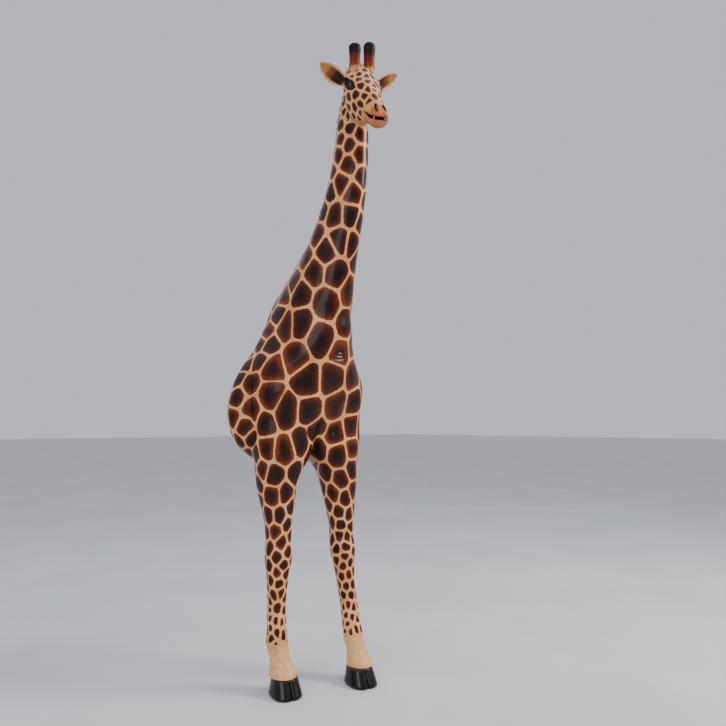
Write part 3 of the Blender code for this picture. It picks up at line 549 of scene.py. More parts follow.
def skin_mesh(name, points, quads, layers):
    mesh = bpy.data.meshes.new(name)
    mesh.vertices.add(len(points))
    mesh.vertices.foreach_set("co", points.astype(np.float32).ravel())
    mesh.loops.add(quads.size)
    mesh.loops.foreach_set("vertex_index", quads.astype(np.int32).ravel())
    mesh.polygons.add(len(quads))
    mesh.polygons.foreach_set("loop_start", np.arange(0, quads.size, 4, dtype=np.int32))
    mesh.update(calc_edges=True)
    paint_layers(mesh, layers)
    return mesh


def cut_piece(whole, name, planes, capped=True):
    """Part of a skin between planes; each cut is closed flat when capped."""
    bm = bmesh.new()
    bm.from_mesh(whole)
    for point, normal in planes:
        bmesh.ops.bisect_plane(bm, geom=bm.verts[:] + bm.edges[:] + bm.faces[:], dist=1e-6,
                               plane_co=point, plane_no=normal, clear_outer=True)
    if capped:
        rim = [e for e in bm.edges if len(e.link_faces) == 1]
        bmesh.ops.holes_fill(bm, edges=rim)
    mesh = bpy.data.meshes.new(name)
    bm.to_mesh(mesh)
    bm.free()
    return mesh


# ---- head skin ---------------------------------------------------------------------------------------
EYE = (0.0655, -0.1625, 2.7900)      # left eyeball's centre in the head's own frame
EYE_RADIUS = 0.0245
EYE_SLIT = [(0.082, -0.118, 2.836), (0.084, -0.140, 2.818), (0.085, -0.166, 2.790), (0.080, -0.192, 2.770),
            (0.072, -0.208, 2.761)]    # from the back corner of the eye to the front corner
NOSTRIL = [(0.0180, -0.2840, 2.6500), (0.0235, -0.2945, 2.6310), (0.0215, -0.3020, 2.6130)]
MOUTH_MIDDLE = (0, -0.238, 2.629)     # a point in the plane of the opening, and that plane's normal
MOUTH_NORMAL = (0, -0.607, 0.795)
MOUTH_EDGE = [(0.049, -0.232, 2.635), (0.049, -0.257, 2.611), (0.043, -0.279, 2.594), (0.026, -0.294, 2.585),
              (0.0, -0.299, 2.582)]


def mouth_cavity():
    """Flattened wedge that opens the mouth, from its corners to past the lips."""
    rows = ((0, 0.224, 2.642, 0.030, 0.0030, -50), (0, 0.243, 2.626, 0.056, 0.0042, -50),
            (0, 0.262, 2.605, 0.064, 0.0060, -50), (0, 0.284, 2.586, 0.070, 0.0064, -50),
            (0, 0.335, 2.553, 0.070, 0.0056, -50))
    return loft(rows, 16, 40)


def head_skin():
    stub = [section(s, 96) for s in resample(TRUNK[-6:], 60)]
    stub = [moved(ring, UNPLACE) for ring in stub]
    points, quads = melted([loft(HEAD, 120, 96), tube(stub)], HEAD_VOXEL, carve=mouth_cavity())
    edges = edges_of(quads)
    points = relax(points, edges, 10)
    nape = (blob(points, (0, -0.05, 2.83), (0.09, 0.06, 0.09))
            + blob(points, (0, -0.09, 2.67), (0.08, 0.06, 0.07)))
    points = relax(points, edges, 90, np.clip(nape, 0, 1), keep_volume=False)
    points += head_sculpt(points, quads)
    points = relax(points, edges, 4)
    return points, quads


def head_sculpt(points, quads):
    normal = normals_of(points, quads)
    mx = points.copy()
    mx[:, 0] = np.abs(mx[:, 0])
    x, y, h = mx.T
    push = np.zeros(len(points))
    # brow, eye socket and lids
    push += 0.012 * groove(mx, [(0.082, -0.105, 2.838), (0.078, -0.150, 2.832), (0.066, -0.195, 2.800)],
                           0.014, 0.3)
    push += 0.005 * blob(mx, (0.060, -0.205, 2.782), (0.018, 0.018, 0.022))
    push -= 0.010 * groove(mx, EYE_SLIT, 0.015, 0.2)
    push += 0.004 * groove(mx, [(0.084, -0.130, 2.790), (0.085, -0.158, 2.762), (0.078, -0.195, 2.748)],
                           0.007, 0.3)
    push -= 0.003 * groove(mx, [(0.084, -0.132, 2.776), (0.083, -0.160, 2.748), (0.072, -0.202, 2.734)],
                           0.007, 0.3)
    # cheekbone, jaw muscle and jaw edge
    push += 0.006 * groove(mx, [(0.082, -0.128, 2.765), (0.074, -0.185, 2.726), (0.060, -0.228, 2.690)],
                           0.016, 0.3)
    push += 0.008 * blob(mx, (0.075, -0.095, 2.735), (0.030, 0.035, 0.045))
    push -= 0.006 * groove(mx, [(0.070, -0.140, 2.705), (0.062, -0.185, 2.668), (0.052, -0.215, 2.640)],
                           0.013, 0.3)
    push += 0.005 * groove(mx, [(0.050, -0.085, 2.672), (0.046, -0.130, 2.642), (0.040, -0.190, 2.604)],
                           0.014, 0.25)
    # fold behind the jaw, where head and neck meet
    push -= 0.006 * groove(mx, [(0.082, -0.038, 2.800), (0.080, -0.040, 2.745), (0.068, -0.050, 2.695),
                                (0.044, -0.068, 2.655), (0.0, -0.080, 2.640)], 0.013, 0.1)
    # forehead: low middle knob and swollen horn bases
    push += 0.006 * blob(mx, (0.0, -0.195, 2.845), (0.024, 0.03, 0.028))
    push += 0.006 * blob(mx, (0.037, -0.155, 2.880), (0.028, 0.03, 0.022))
    # nose: flat bridge, flared nostrils, square upper lip
    push += 0.003 * blob(mx, (0.0, -0.262, 2.705), (0.022, 0.03, 0.04))
    push += 0.009 * blob(mx, (0.032, -0.284, 2.638), (0.016, 0.020, 0.020))
    push -= 0.017 * groove(mx, NOSTRIL, 0.0072, fade=0.25)
    push += 0.003 * groove(mx, [(0.032, -0.274, 2.653), (0.037, -0.290, 2.631), (0.032, -0.302, 2.610)],
                           0.005, 0.3)
    push -= 0.004 * groove(mx, [(0, -0.297, 2.626), (0, -0.308, 2.606), (0, -0.307, 2.588)], 0.0035, 0.2)
    push += 0.004 * blob(mx, (0.018, -0.304, 2.606), (0.020, 0.02, 0.018))
    # lips: a rolled edge above and below the opening, and a small chin
    above = [(a, b - 0.004, c + 0.011) for a, b, c in MOUTH_EDGE]
    below = [(a, b + 0.008, c - 0.013) for a, b, c in MOUTH_EDGE]
    push += 0.0030 * groove(mx, above, 0.006, 0.2)
    push += 0.0030 * groove(mx, below, 0.007, 0.2)
    push += 0.003 * blob(mx, (0.0, -0.262, 2.560), (0.026, 0.024, 0.014))
    push -= 0.003 * groove(mx, [(0.052, -0.220, 2.650), (0.052, -0.228, 2.627), (0.046, -0.226, 2.609)],
                           0.006, 0.3)
    # fine wrinkles over the nose and under the eye
    wrinkle = np.sin((h * 0.45 - y * 0.89) / 0.0085 * 2 * pi + 1.3 * np.sin(x * 90))
    push += 0.0005 * wrinkle * blob(mx, (0.02, -0.272, 2.675), (0.035, 0.03, 0.04))
    push += 0.0004 * np.sin(np.hypot(y + 0.170, h - 2.785) / 0.0052 * 2 * pi) * blob(
        mx, (0.083, -0.170, 2.748), (0.02, 0.03, 0.02))
    return normal * push[:, None]


def head_layers(points, quads):
    """Spots on the face, and masks for the muzzle, lips, jaw, eye rim and brow, and for the painted shade in
    the nostrils and mouth.
    """
    x, y, h = points.T
    mx = points.copy()
    mx[:, 0] = np.abs(x)
    along = (-y - 0.10) * 0.454 + (2.90 - h) * 0.891      # 0 at the poll, about 0.39 at the lips
    below = -(h - 2.655) * 0.891 - (-y - 0.12) * 0.50      # above 0 under the jaw line
    spacing = np.interp(along, [0.0, 0.06, 0.16, 0.24, 0.32], [0.035, 0.040, 0.047, 0.042, 0.034])
    spacing *= (1 + 0.16 * ripple(points, 40, 3)) * np.interp(np.abs(x), [0.025, 0.055], [0.80, 1.0])
    half_line = np.interp(along, [0, 0.2, 0.33], [0.0046, 0.0042, 0.0052])
    edge, depth, tone = coat(points, quads, spacing, half_line, 1.2, np.random.default_rng(17), along < 0.30,
                             round_off=0.0028, warp=0.30)
    muzzle = step_up(along, 0.272, 0.292)
    # skin under the jaw line: kept plain, and given a darker beige that is partly its own tone and partly
    # painted shade
    jaw = step_up(below, -0.002, 0.018) * step_up(-y, 0.055, 0.085)
    slit, share = line_distance(mx, EYE_SLIT)
    almond = slit / (0.004 + 0.019 * np.sqrt(np.clip(np.sin(pi * share ** 0.9), 0, 1)))
    brow = blob(mx, (0.070, -0.160, 2.846), (0.026, 0.034, 0.014))
    bare = np.clip(muzzle + jaw + 1 - step_up(almond, 1.15, 1.5) + step_up(brow, 0.45, 0.65), 0, 1)
    edge = np.minimum(edge, 0.03 - 0.06 * bare)
    outwards = np.array((0, -0.89, 0.45))
    away, _ = line_distance(mx - np.outer(mx @ outwards, outwards),
                            [np.array(spot) - (np.array(spot) @ outwards) * outwards for spot in NOSTRIL])
    lips, _ = line_distance(mx, MOUTH_EDGE)
    lower, _ = line_distance(mx, [(a, b + 0.010, c - 0.017) for a, b, c in MOUTH_EDGE])
    # skin that looks across the slit of the mouth is its inside, which is darkened as painted shade
    slit_up = np.array(MOUTH_NORMAL)
    above = (points - np.array(MOUTH_MIDDLE)) @ slit_up
    across = -(normals_of(points, quads) @ slit_up) * np.sign(above)
    inside = (step_up(across, 0.30, 0.65) * (np.abs(above) < 0.016) * (np.abs(x) < 0.056)
              * step_up(-y, 0.19, 0.20))
    return {
        "patch_edge": edge, "patch_depth": depth, "patch_tone": tone, "underside_and_shade": jaw,
        "muzzle": step_up(along, 0.285, 0.335),
        "yellow": blob(mx, (0.046, -0.258, 2.638), (0.024, 0.024, 0.014)),
        "lower_lip": bell(lower, 0.014),
        # painted shade inside the nostrils
        "nostril_shade": step_up(bell(away, 0.0090), 0.35, 0.75) * step_up(-y, 0.262, 0.268),
        "lip": bell(lips, 0.010),
        "eye_rim": 1 - step_up(almond, 0.85, 1.12),
        "brow": brow,
        # painted shade: a dark line where the lips part, and the inside of the mouth
        "mouth_shade": np.maximum(step_up(bell(lips, 0.0060), 0.40, 0.9), inside),
    }


# ---- materials -----------------------------------------------------------------------------------------
class Paint:
    """Small helper that wires one Principled material."""

    def __init__(self, name, roughness=0.35, metallic=0.0, coat_weight=0.0, coat_roughness=0.08):
        self.mat = bpy.data.materials.new(name)
        self.mat.use_nodes = True
        self.tree = self.mat.node_tree
        self.shader = self.tree.nodes["Principled BSDF"]
        self.set("Roughness", roughness)
        self.set("Metallic", metallic)
        self.set("Coat Weight", coat_weight)
        self.set("Coat Roughness", coat_roughness)
        self.set("IOR", 1.5)
        self.place = self.node("ShaderNodeTexCoord").outputs["Object"]

    def set(self, socket, value):
        self.shader.inputs[socket].default_value = value

    def node(self, kind, **settings):
        made = self.tree.nodes.new(kind)
        for key, value in settings.items():
            setattr(made, key, value)
        return made

    def feed(self, socket, source):
        if hasattr(source, "node"):
            self.tree.links.new(source, socket)
        elif isinstance(source, tuple) and len(source) == 3:
            socket.default_value = (*source, 1)
        else:
            socket.default_value = source

    def noise(self, scale, detail=3.0, rough=0.55, stretch=None, warp=0.0):
        tex = self.node("ShaderNodeTexNoise")
        tex.inputs["Scale"].default_value = scale
        tex.inputs["Detail"].default_value = detail
        tex.inputs["Roughness"].default_value = rough
        tex.inputs["Distortion"].default_value = warp
        self.feed(tex.inputs["Vector"], self.stretched(stretch) if stretch else self.place)
        return tex.outputs["Fac"]

    def stretched(self, scale):
        shape = self.node("ShaderNodeMapping")
        shape.inputs["Scale"].default_value = scale
        self.feed(shape.inputs["Vector"], self.place)
        return shape.outputs["Vector"]

    def layer(self, name):
        return self.node("ShaderNodeAttribute", attribute_name=name).outputs["Fac"]

    def math(self, operation, a, b):
        made = self.node("ShaderNodeMath", operation=operation)
        for socket, value in zip(made.inputs, (a, b)):
            self.feed(socket, value)
        return made.outputs[0]

    def span(self, value, low, high, to_low=0.0, to_high=1.0):
        made = self.node("ShaderNodeMapRange", interpolation_type="SMOOTHSTEP")
        for name, number in (("From Min", low), ("From Max", high), ("To Min", to_low), ("To Max", to_high)):
            made.inputs[name].default_value = number
        self.feed(made.inputs["Value"], value)
        return made.outputs["Result"]

    def mix(self, factor, a, b):
        made = self.node("ShaderNodeMix", data_type="RGBA")
        self.feed(made.inputs[0], factor)
        self.feed(made.inputs[6], a)
        self.feed(made.inputs[7], b)
        return made.outputs[2]

    def ramp(self, value, stops):
        made = self.node("ShaderNodeValToRGB")
        made.color_ramp.interpolation = "EASE"
        bands = made.color_ramp.elements
        while len(bands) < len(stops):
            bands.new(0.5)
        for band, (at, colour) in zip(bands, stops):
            band.position = at
            band.color = (*colour, 1)
        self.feed(made.inputs["Fac"], value)
        return made.outputs["Color"]

    def colour(self, source):
        self.feed(self.shader.inputs["Base Color"], source)

    def rough(self, source):
        self.feed(self.shader.inputs["Roughness"], source)

    def bump(self, height, distance, strength):
        made = self.node("ShaderNodeBump")
        made.inputs["Distance"].default_value = distance
        made.inputs["Strength"].default_value = strength
        self.feed(made.inputs["Height"], height)
        self.tree.links.new(made.outputs["Normal"], self.shader.inputs["Normal"])


CREAM = (0.84, 0.43, 0.18)
CREAM_DEEP = (0.64, 0.28, 0.090)
# plain underside tone, darkened as painted shade
SHADED_BELLY = (0.32, 0.20, 0.070)
RIM = (0.180, 0.036, 0.005)
RUST = (0.096, 0.0170, 0.0035)
BROWN = (0.050, 0.0090, 0.0028)
DARK = (0.026, 0.0055, 0.0030)
CORE = (0.012, 0.0040, 0.0036)


def coat_paint(name, face=False):
    """Cream ground, airbrushed patches from orange rim to near-black middle, under clear gloss."""
    p = Paint(name, coat_weight=0.14, coat_roughness=0.10)
    p.set("Specular IOR Level", 0.12)
    fine = p.noise(55, 4, 0.6)
    broad = p.noise(7, 3)
    speck = p.noise(260, 2)
    streak = p.noise(26, 4, 0.65, stretch=(1.6, 1.6, 0.5))
    edge = p.math("ADD", p.layer("patch_edge"), p.span(fine, 0.3, 0.7, -0.0014, 0.0014))
    inside = p.span(edge, -0.0011, 0.0019)
    # airbrush: rim fades inwards over a couple of centimetres, less on small patches
    depth = p.math("ADD", p.layer("patch_depth"), p.span(p.layer("patch_tone"), 0, 1, -0.13, 0.13))
    depth = p.math("ADD", depth, p.span(streak, 0.3, 0.7, -0.12, 0.12))
    depth = p.math("ADD", depth, p.span(broad, 0.3, 0.7, -0.08, 0.10))
    if face:
        patch = p.ramp(depth, ((0.0, (0.16, 0.042, 0.010)), (0.25, (0.085, 0.019, 0.006)),
                               (0.6, (0.046, 0.010, 0.004)), (1.0, (0.026, 0.007, 0.004))))
    else:
        patch = p.ramp(depth, ((0.0, RIM), (0.10, (0.150, 0.028, 0.005)), (0.24, RUST), (0.46, BROWN),
                               (0.75, DARK), (1.0, CORE)))
    ground = p.mix(p.span(broad, 0.35, 0.65), CREAM, CREAM_DEEP)
    ground = p.mix(p.span(streak, 0.45, 0.75, 0, 0.30), ground, (0.50, 0.22, 0.08))
    ground = p.mix(p.span(speck, 0.45, 0.75, 0, 0.22), ground, (0.50, 0.24, 0.09))
    ground = p.mix(p.span(edge, -0.0062, -0.0010, 0, 0.40), ground, (0.86, 0.43, 0.20))
    underside_and_shade = p.layer("underside_and_shade")
    if face:
        # under the jaw: darker beige, partly the plain underside's tone and partly painted shade
        ground = p.mix(p.math("MULTIPLY", underside_and_shade, 0.75), ground, (0.36, 0.22, 0.090))
        muzzle = p.math("MULTIPLY", p.layer("muzzle"), p.span(p.noise(30, 3), 0.3, 0.7, 0.5, 1.0))
        ground = p.mix(muzzle, ground, (0.40, 0.088, 0.018))
        ground = p.mix(p.layer("yellow"), ground, (0.60, 0.40, 0.075))
        ground = p.mix(p.math("MULTIPLY", p.layer("lower_lip"), 0.75), ground, (0.55, 0.19, 0.11))
        ground = p.mix(p.math("MULTIPLY", p.layer("lip"), 0.45), ground, (0.30, 0.060, 0.030))
        ground = p.mix(p.math("MULTIPLY", p.layer("brow"), 0.35), ground, (0.86, 0.56, 0.28))
    else:
        # underside: belly tone, partly its own and partly painted shade on skin that faces down
        ground = p.mix(p.math("MULTIPLY", underside_and_shade, 0.8), ground, SHADED_BELLY)
        sock = p.mix(p.span(fine, 0.3, 0.7), (0.76, 0.46, 0.205), (0.62, 0.34, 0.135))
        ground = p.mix(p.layer("sock"), ground, sock)
    colour = p.mix(inside, ground, patch)
    if face:
        # painted shade: the nostril holes are darkened
        colour = p.mix(p.layer("nostril_shade"), colour, (0.012, 0.005, 0.004))
        # painted shade: the parting of the lips and the inside of the mouth are darkened
        colour = p.mix(p.layer("mouth_shade"), colour, (0.020, 0.005, 0.004))
        colour = p.mix(p.layer("eye_rim"), colour, (0.010, 0.008, 0.009))
    else:
        # painted shade: the throat's creases are darkened
        colour = p.mix(p.math("MULTIPLY", p.layer("fold_shade"), 0.85), colour, (0.045, 0.010, 0.005))
        colour = p.mix(p.layer("nape"), colour, (0.010, 0.006, 0.005))
    p.colour(colour)
    p.rough(p.span(p.noise(18, 4), 0.3, 0.7, 0.30, 0.48))
    texture = p.math("ADD", p.math("MULTIPLY", p.noise(420, 2), 0.35),
                     p.math("MULTIPLY", p.noise(90, 3), 0.65))
    p.bump(texture, 0.0012, 0.30)
    return p.mat


def hoof_paint():
    p = Paint("hoof_gloss", coat_weight=0.22, coat_roughness=0.07)
    p.set("Specular IOR Level", 0.15)
    top = p.layer("crown")
    band = p.noise(40, 4, 0.6, stretch=(1, 1, 9))
    black = p.mix(p.span(band, 0.35, 0.7), (0.0045, 0.0042, 0.0048), (0.010, 0.0085, 0.0085))
    p.colour(p.mix(p.math("MULTIPLY", top, 0.6), black, (0.050, 0.012, 0.007)))
    p.rough(p.span(p.noise(25, 3), 0.3, 0.7, 0.16, 0.30))
    p.bump(p.math("ADD", band, p.math("MULTIPLY", p.noise(300, 2), 0.2)), 0.0016, 0.35)
    return p.mat


def ear_paint():
    p = Paint("ear_paint", coat_weight=0.12, coat_roughness=0.16)
    p.set("Specular IOR Level", 0.15)
    hair = p.noise(70, 4, 0.6, stretch=(0.35, 1, 2.2))
    base = p.mix(p.span(hair, 0.3, 0.7), (0.78, 0.55, 0.31), (0.62, 0.38, 0.17))
    cup_tint_and_shade = p.layer("cup_tint_and_shade")
    # inside the ear: an orange-brown tone that goes near black deep in the cup by the root, partly its own
    # colour and partly painted shade
    inner = p.ramp(cup_tint_and_shade, ((0.0, (0.74, 0.45, 0.20)), (0.26, (0.50, 0.21, 0.060)), (0.50, (0.20, 0.060, 0.016)),
                         (0.78, (0.026, 0.010, 0.007)), (1.0, (0.010, 0.006, 0.006))))
    p.colour(p.mix(p.span(cup_tint_and_shade, 0.02, 0.14), base, inner))
    p.rough(p.span(hair, 0.3, 0.7, 0.32, 0.48))
    p.bump(hair, 0.0014, 0.5)
    return p.mat


def horn_paint():
    p = Paint("ossicone_paint", coat_weight=0.05, coat_roughness=0.25)
    p.set("Specular IOR Level", 0.10)
    hair = p.noise(60, 4, 0.6, stretch=(2.2, 2.2, 0.35))
    rise = p.math("ADD", p.layer("rise"), p.span(hair, 0.3, 0.7, -0.06, 0.06))
    tint = p.ramp(rise, ((0.0, (0.62, 0.34, 0.16)), (0.07, (0.48, 0.18, 0.065)), (0.16, (0.22, 0.034, 0.012)),
                         (0.40, (0.150, 0.016, 0.008)), (0.62, (0.022, 0.007, 0.006)),
                         (1.0, (0.005, 0.005, 0.006))))
    p.colour(p.mix(p.span(hair, 0.45, 0.75, 0, 0.35), tint, (0.03, 0.010, 0.007)))
    p.rough(p.span(hair, 0.3, 0.7, 0.45, 0.62))
    p.bump(hair, 0.0022, 0.45)
    return p.mat


def eye_paint():
    p = Paint("eye_gloss", coat_weight=0.5, coat_roughness=0.02)
    p.set("Specular IOR Level", 0.20)
    ring = p.layer("iris")
    streak = p.noise(160, 3)
    iris = p.mix(p.span(streak, 0.3, 0.7), (0.012, 0.008, 0.008), (0.024, 0.020, 0.026))
    p.colour(p.mix(ring, (0.006, 0.005, 0.008), iris))
    p.rough(p.span(streak, 0.3, 0.7, 0.06, 0.12))
    return p.mat


def mane_paint(name, brown=0.0):
    p = Paint(name, coat_weight=0.06, coat_roughness=0.2)
    p.set("Specular IOR Level", 0.15)
    hair = p.noise(120, 4, 0.65, stretch=(3.0, 0.6, 0.6))
    p.colour(p.mix(p.span(hair, 0.35, 0.7), (0.008, 0.0055, 0.005), (0.028 + brown, 0.012, 0.008)))
    p.rough(p.span(hair, 0.3, 0.7, 0.35, 0.55))
    p.bump(hair, 0.0025, 0.7)
    return p.mat


def simple_gloss(name, dark, light, scale, low, high):
    p = Paint(name, coat_weight=0.5)
    grain = p.noise(scale, 4)
    p.colour(p.mix(p.span(grain, 0.3, 0.7), dark, light))
    p.rough(p.span(grain, 0.3, 0.7, low, high))
    p.bump(p.noise(scale * 4, 3), 0.0008, 0.4)
    return p.mat


def wood_paint(name, dark, light, along):
    """Timber: stretched grain along one axis, with fine pores."""
    p = Paint(name)
    stretch = tuple(0.06 if axis == along else 1.0 for axis in "XYZ")
    grain = p.noise(55, 5, 0.6, stretch=stretch, warp=0.6)
    pore = p.noise(420, 2, 0.5, stretch=stretch)
    tone = p.mix(p.span(grain, 0.35, 0.65), dark, light)
    p.colour(p.mix(p.span(pore, 0.62, 0.75, 0, 0.5), tone, tuple(c * 0.45 for c in dark)))
    p.rough(p.span(grain, 0.3, 0.7, 0.55, 0.75))
    p.bump(p.math("ADD", grain, p.math("MULTIPLY", pore, -0.5)), 0.0006, 0.5)
    return p.mat


def laminate_paint():
    """Raw glass-fibre: tangled strands in greenish resin."""
    p = Paint("raw_laminate")
    strand = p.node("ShaderNodeTexVoronoi", feature="DISTANCE_TO_EDGE")
    strand.inputs["Scale"].default_value = 60
    p.feed(strand.inputs["Vector"], p.stretched((1, 1.8, 0.7)))
    fibre = p.span(strand.outputs["Distance"], 0.0, 0.12)
    resin = p.noise(12, 4)
    tone = p.mix(p.span(resin, 0.3, 0.7), (0.34, 0.33, 0.22), (0.50, 0.47, 0.33))
    p.colour(p.mix(fibre, (0.60, 0.58, 0.47), tone))
    p.rough(p.span(resin, 0.3, 0.7, 0.38, 0.62))
    p.bump(p.math("ADD", fibre, p.noise(90, 4)), 0.0012, 0.5)
    return p.mat


def steel_paint():
    p = Paint("primed_steel", metallic=0.15)
    scuff = p.noise(26, 5, 0.65)
    bare = p.span(p.noise(70, 5, 0.7), 0.62, 0.70)
    p.colour(p.mix(bare, p.mix(p.span(scuff, 0.3, 0.7), (0.16, 0.17, 0.18), (0.24, 0.25, 0.26)),
                   (0.30, 0.18, 0.11)))
    p.rough(p.span(scuff, 0.3, 0.7, 0.45, 0.65))
    p.bump(p.noise(240, 3), 0.0005, 0.4)
    return p.mat


def zinc_paint():
    p = Paint("zinc_plate", metallic=1.0)
    brush = p.noise(220, 4, 0.6, stretch=(0.2, 1, 1))
    p.colour(p.mix(p.span(brush, 0.3, 0.7), (0.52, 0.52, 0.50), (0.72, 0.71, 0.66)))
    p.rough(p.span(brush, 0.3, 0.7, 0.25, 0.42))
    p.bump(brush, 0.0003, 0.3)
    return p.mat


# ---- pieces --------------------------------------------------------------------------------------------
def build_skins():
    coat_mat = coat_paint("coat_body")
    face_mat = coat_paint("coat_face", face=True)
    raw = laminate_paint()
    points, quads = body_skin()
    spacing = patch_spacing(points)
    half_line = line_half_width(points, spacing)
    h = points[:, 2]
    allowed = h > 0.205
    edge, depth, tone = coat(points, quads, spacing, half_line, 1.22, np.random.default_rng(8), allowed,
                             round_off=0.0050 * spacing / 0.1 + 0.0010)
    # the socks and the underside carry no patches, and cream ridges part the throat's folds
    sock = 1 - step_up(h + 0.012 * ripple(points, 60, 4), 0.185, 0.215)
    under = 1 - step_up(h + 0.02 * ripple(points, 20, 9), 1.050, 1.085)
    normal = normals_of(points, quads)
    under *= step_up(-normal[:, 2], 0.35, 0.75) * step_up(h, 1.0, 1.03)
    nape = 1 - step_up(nape_angle(points) + 0.10 * ripple(points, 55, 31), 0.72, 0.84)
    nape *= step_up(h, 1.80, 1.88)
    ridge = throat_folds(points, (0.0245, 0.0415), 0.0036)
    edge = np.minimum(edge, 0.03 - 0.06 * np.clip(under, 0, 1))
    edge = np.minimum(edge, 0.03 - 0.034 * step_up(ridge, 0.45, 0.95))
    # the lowest patches end in a round above the sock
    above_sock = h + 0.008 * ripple(points, 60, 4) - SOCK_TOP
    edge = -SOCK_ROUND * np.logaddexp(-edge / SOCK_ROUND, -above_sock / SOCK_ROUND)
    # the plain underside, plus painted shade on skin that faces down
    underside_and_shade = np.clip(under + 0.35 * step_up(-normal[:, 2], 0.3, 0.9) * step_up(h, 1.0, 1.05), 0, 1)
    layers = {"patch_edge": edge, "patch_depth": depth, "patch_tone": tone, "sock": sock, "underside_and_shade": underside_and_shade,
              # painted shade along the throat's creases
              "fold_shade": step_up(throat_folds(points), 0.15, 0.60), "nape": nape}
    whole = skin_mesh("body_whole", points, quads, layers)
    up, down, hair = Vector((0, 0, 1)), Vector((0, 0, -1)), 0.0002
    seam = Vector((0, -sin(HEAD_SEAM_TILT), cos(HEAD_SEAM_TILT)))
    torso = cut_piece(whole, "torso_skin", [
        (Vector((0, 0, 0)), Vector((0, 1, 0))), (Vector((0, 0, NECK_SEAM - hair)), up),
        (Vector((0, 0, LEG_SEAM + hair)), down)], capped=False)
    put("torso_skin", thickened(torso, (coat_mat, raw)), [coat_mat, raw], ["torso_shell"])
    neck = cut_piece(whole, "neck_skin", [(Vector((0, 0, NECK_SEAM + hair)), down),
                                          (HEAD_SEAM_POINT - seam * hair, seam)])
    put("neck_skin", neck, [coat_mat], ["neck_shell"])
    for side, away in (("right", Vector((1, 0, 0))), ("left", Vector((-1, 0, 0)))):
        leg = cut_piece(whole, side + "_foreleg_skin", [
            (Vector((0, 0, LEG_SEAM - hair)), up), (Vector((0, 0, HOOF_SEAM)), down),
            (Vector((0, 0, 0)), away)])
        put(side + "_foreleg_skin", leg, [coat_mat], [side + "_foreleg_shell"])
    bpy.data.meshes.remove(whole)
    points, quads = head_skin()
    layers = head_layers(points, quads)
    whole = skin_mesh("head_whole", moved(points, PLACE), quads, layers)
    head = cut_piece(whole, "head_skin", [(HEAD_SEAM_POINT + seam * hair, -seam)])
    put("head_skin", head, [face_mat], ["head_shell"])
    bpy.data.meshes.remove(whole)
    return raw


def thickened(mesh, materials):
    """The torso keeps its open back: give its skin the laminate's thickness, flat against the wall."""
    piece = bpy.data.objects.new("thick", mesh)
    bpy.context.scene.collection.objects.link(piece)
    wall = piece.modifiers.new("laminate", "SOLIDIFY")
    wall.thickness = SKIN_THICK
    wall.offset = -1
    wall.material_offset = 1
    wall.material_offset_rim = 1
    for mat in materials:
        mesh.materials.append(mat)
    graph = bpy.context.evaluated_depsgraph_get()
    done = bpy.data.meshes.new_from_object(piece.evaluated_get(graph), preserve_all_data_layers=True,
                                           depsgraph=graph)
    bpy.data.objects.remove(piece)
    for vert in done.vertices:
        vert.co.y = min(vert.co.y, 0.0)
    return done


# height, half width, half length, shift forward
HOOF_PROFILE = (
    (0.000, 0.061, 0.078, 0.004), (0.0015, 0.0665, 0.0835, 0.004), (0.006, 0.0700, 0.0870, 0.004),
    (0.014, 0.0695, 0.0860, 0.003), (0.034, 0.0655, 0.0785, -0.001), (0.056, 0.0610, 0.0705, -0.006),
    (0.068, 0.0590, 0.0665, -0.009), (0.0735, 0.0580, 0.0650, -0.010), (0.0762, 0.0555, 0.0625, -0.011),
    (0.0768, 0.0510, 0.0575, -0.011))
HOOF_PLACES = (("right", (-0.180, -0.216)), ("left", (0.164, -0.344)))


def build_hooves():
    mat = hoof_paint()
    toe = radians(-13)
    for side, at in HOOF_PLACES:
        heights = np.array([p[0] for p in HOOF_PROFILE])
        rows = np.unique(np.concatenate([np.linspace(0, 0.0768, 46), heights]))
        sides = 160
        turn = ring_angles(sides)
        rings, crown = [], []
        for z in rows:
            wide, long, ahead = (np.interp(z, heights, [p[k] for p in HOOF_PROFILE]) for k in (1, 2, 3))
            square = (np.abs(np.cos(turn)) ** 2.5 + np.abs(np.sin(turn)) ** 2.5) ** (-1 / 2.5)
            px = wide * square * np.cos(turn)
            py = -long * square * np.sin(turn) - ahead
            # cleft: a deep slot at the toe, a shallow one between the heels
            shut = 1 - step_up(np.full(sides, z), 0.066, 0.0755)
            slot = bell(px, 0.0034) * (py < 0) * shut
            py = py + slot * 0.011 * (0.6 + 0.4 * (1 - z / 0.077))
            halves = bell(px, 0.016) * (py < 0) * shut
            py = py + halves * 0.0025
            heel = bell(px, 0.011) * (py > 0) * shut
            py = py - heel * 0.014
            swell = 1 + 0.0012 * sin(z / 0.0145 * 2 * pi) * (z > 0.010) * (z < 0.066)
            px, py = px * swell, py * swell
            rings.append(np.stack([at[0] + px * cos(toe) - py * sin(toe),
                                   at[1] + px * sin(toe) + py * cos(toe), np.full(sides, z)], 1))
            crown += [float(step_up(np.array(z), 0.0690, 0.0755))] * sides
        points, faces = tube(rings)
        mesh = make_mesh(side + "_hoof_shell", points, faces)
        paint_layers(mesh, {"crown": crown})
        put(side + "_hoof_shell", mesh, [mat], [side + "_hoof"])


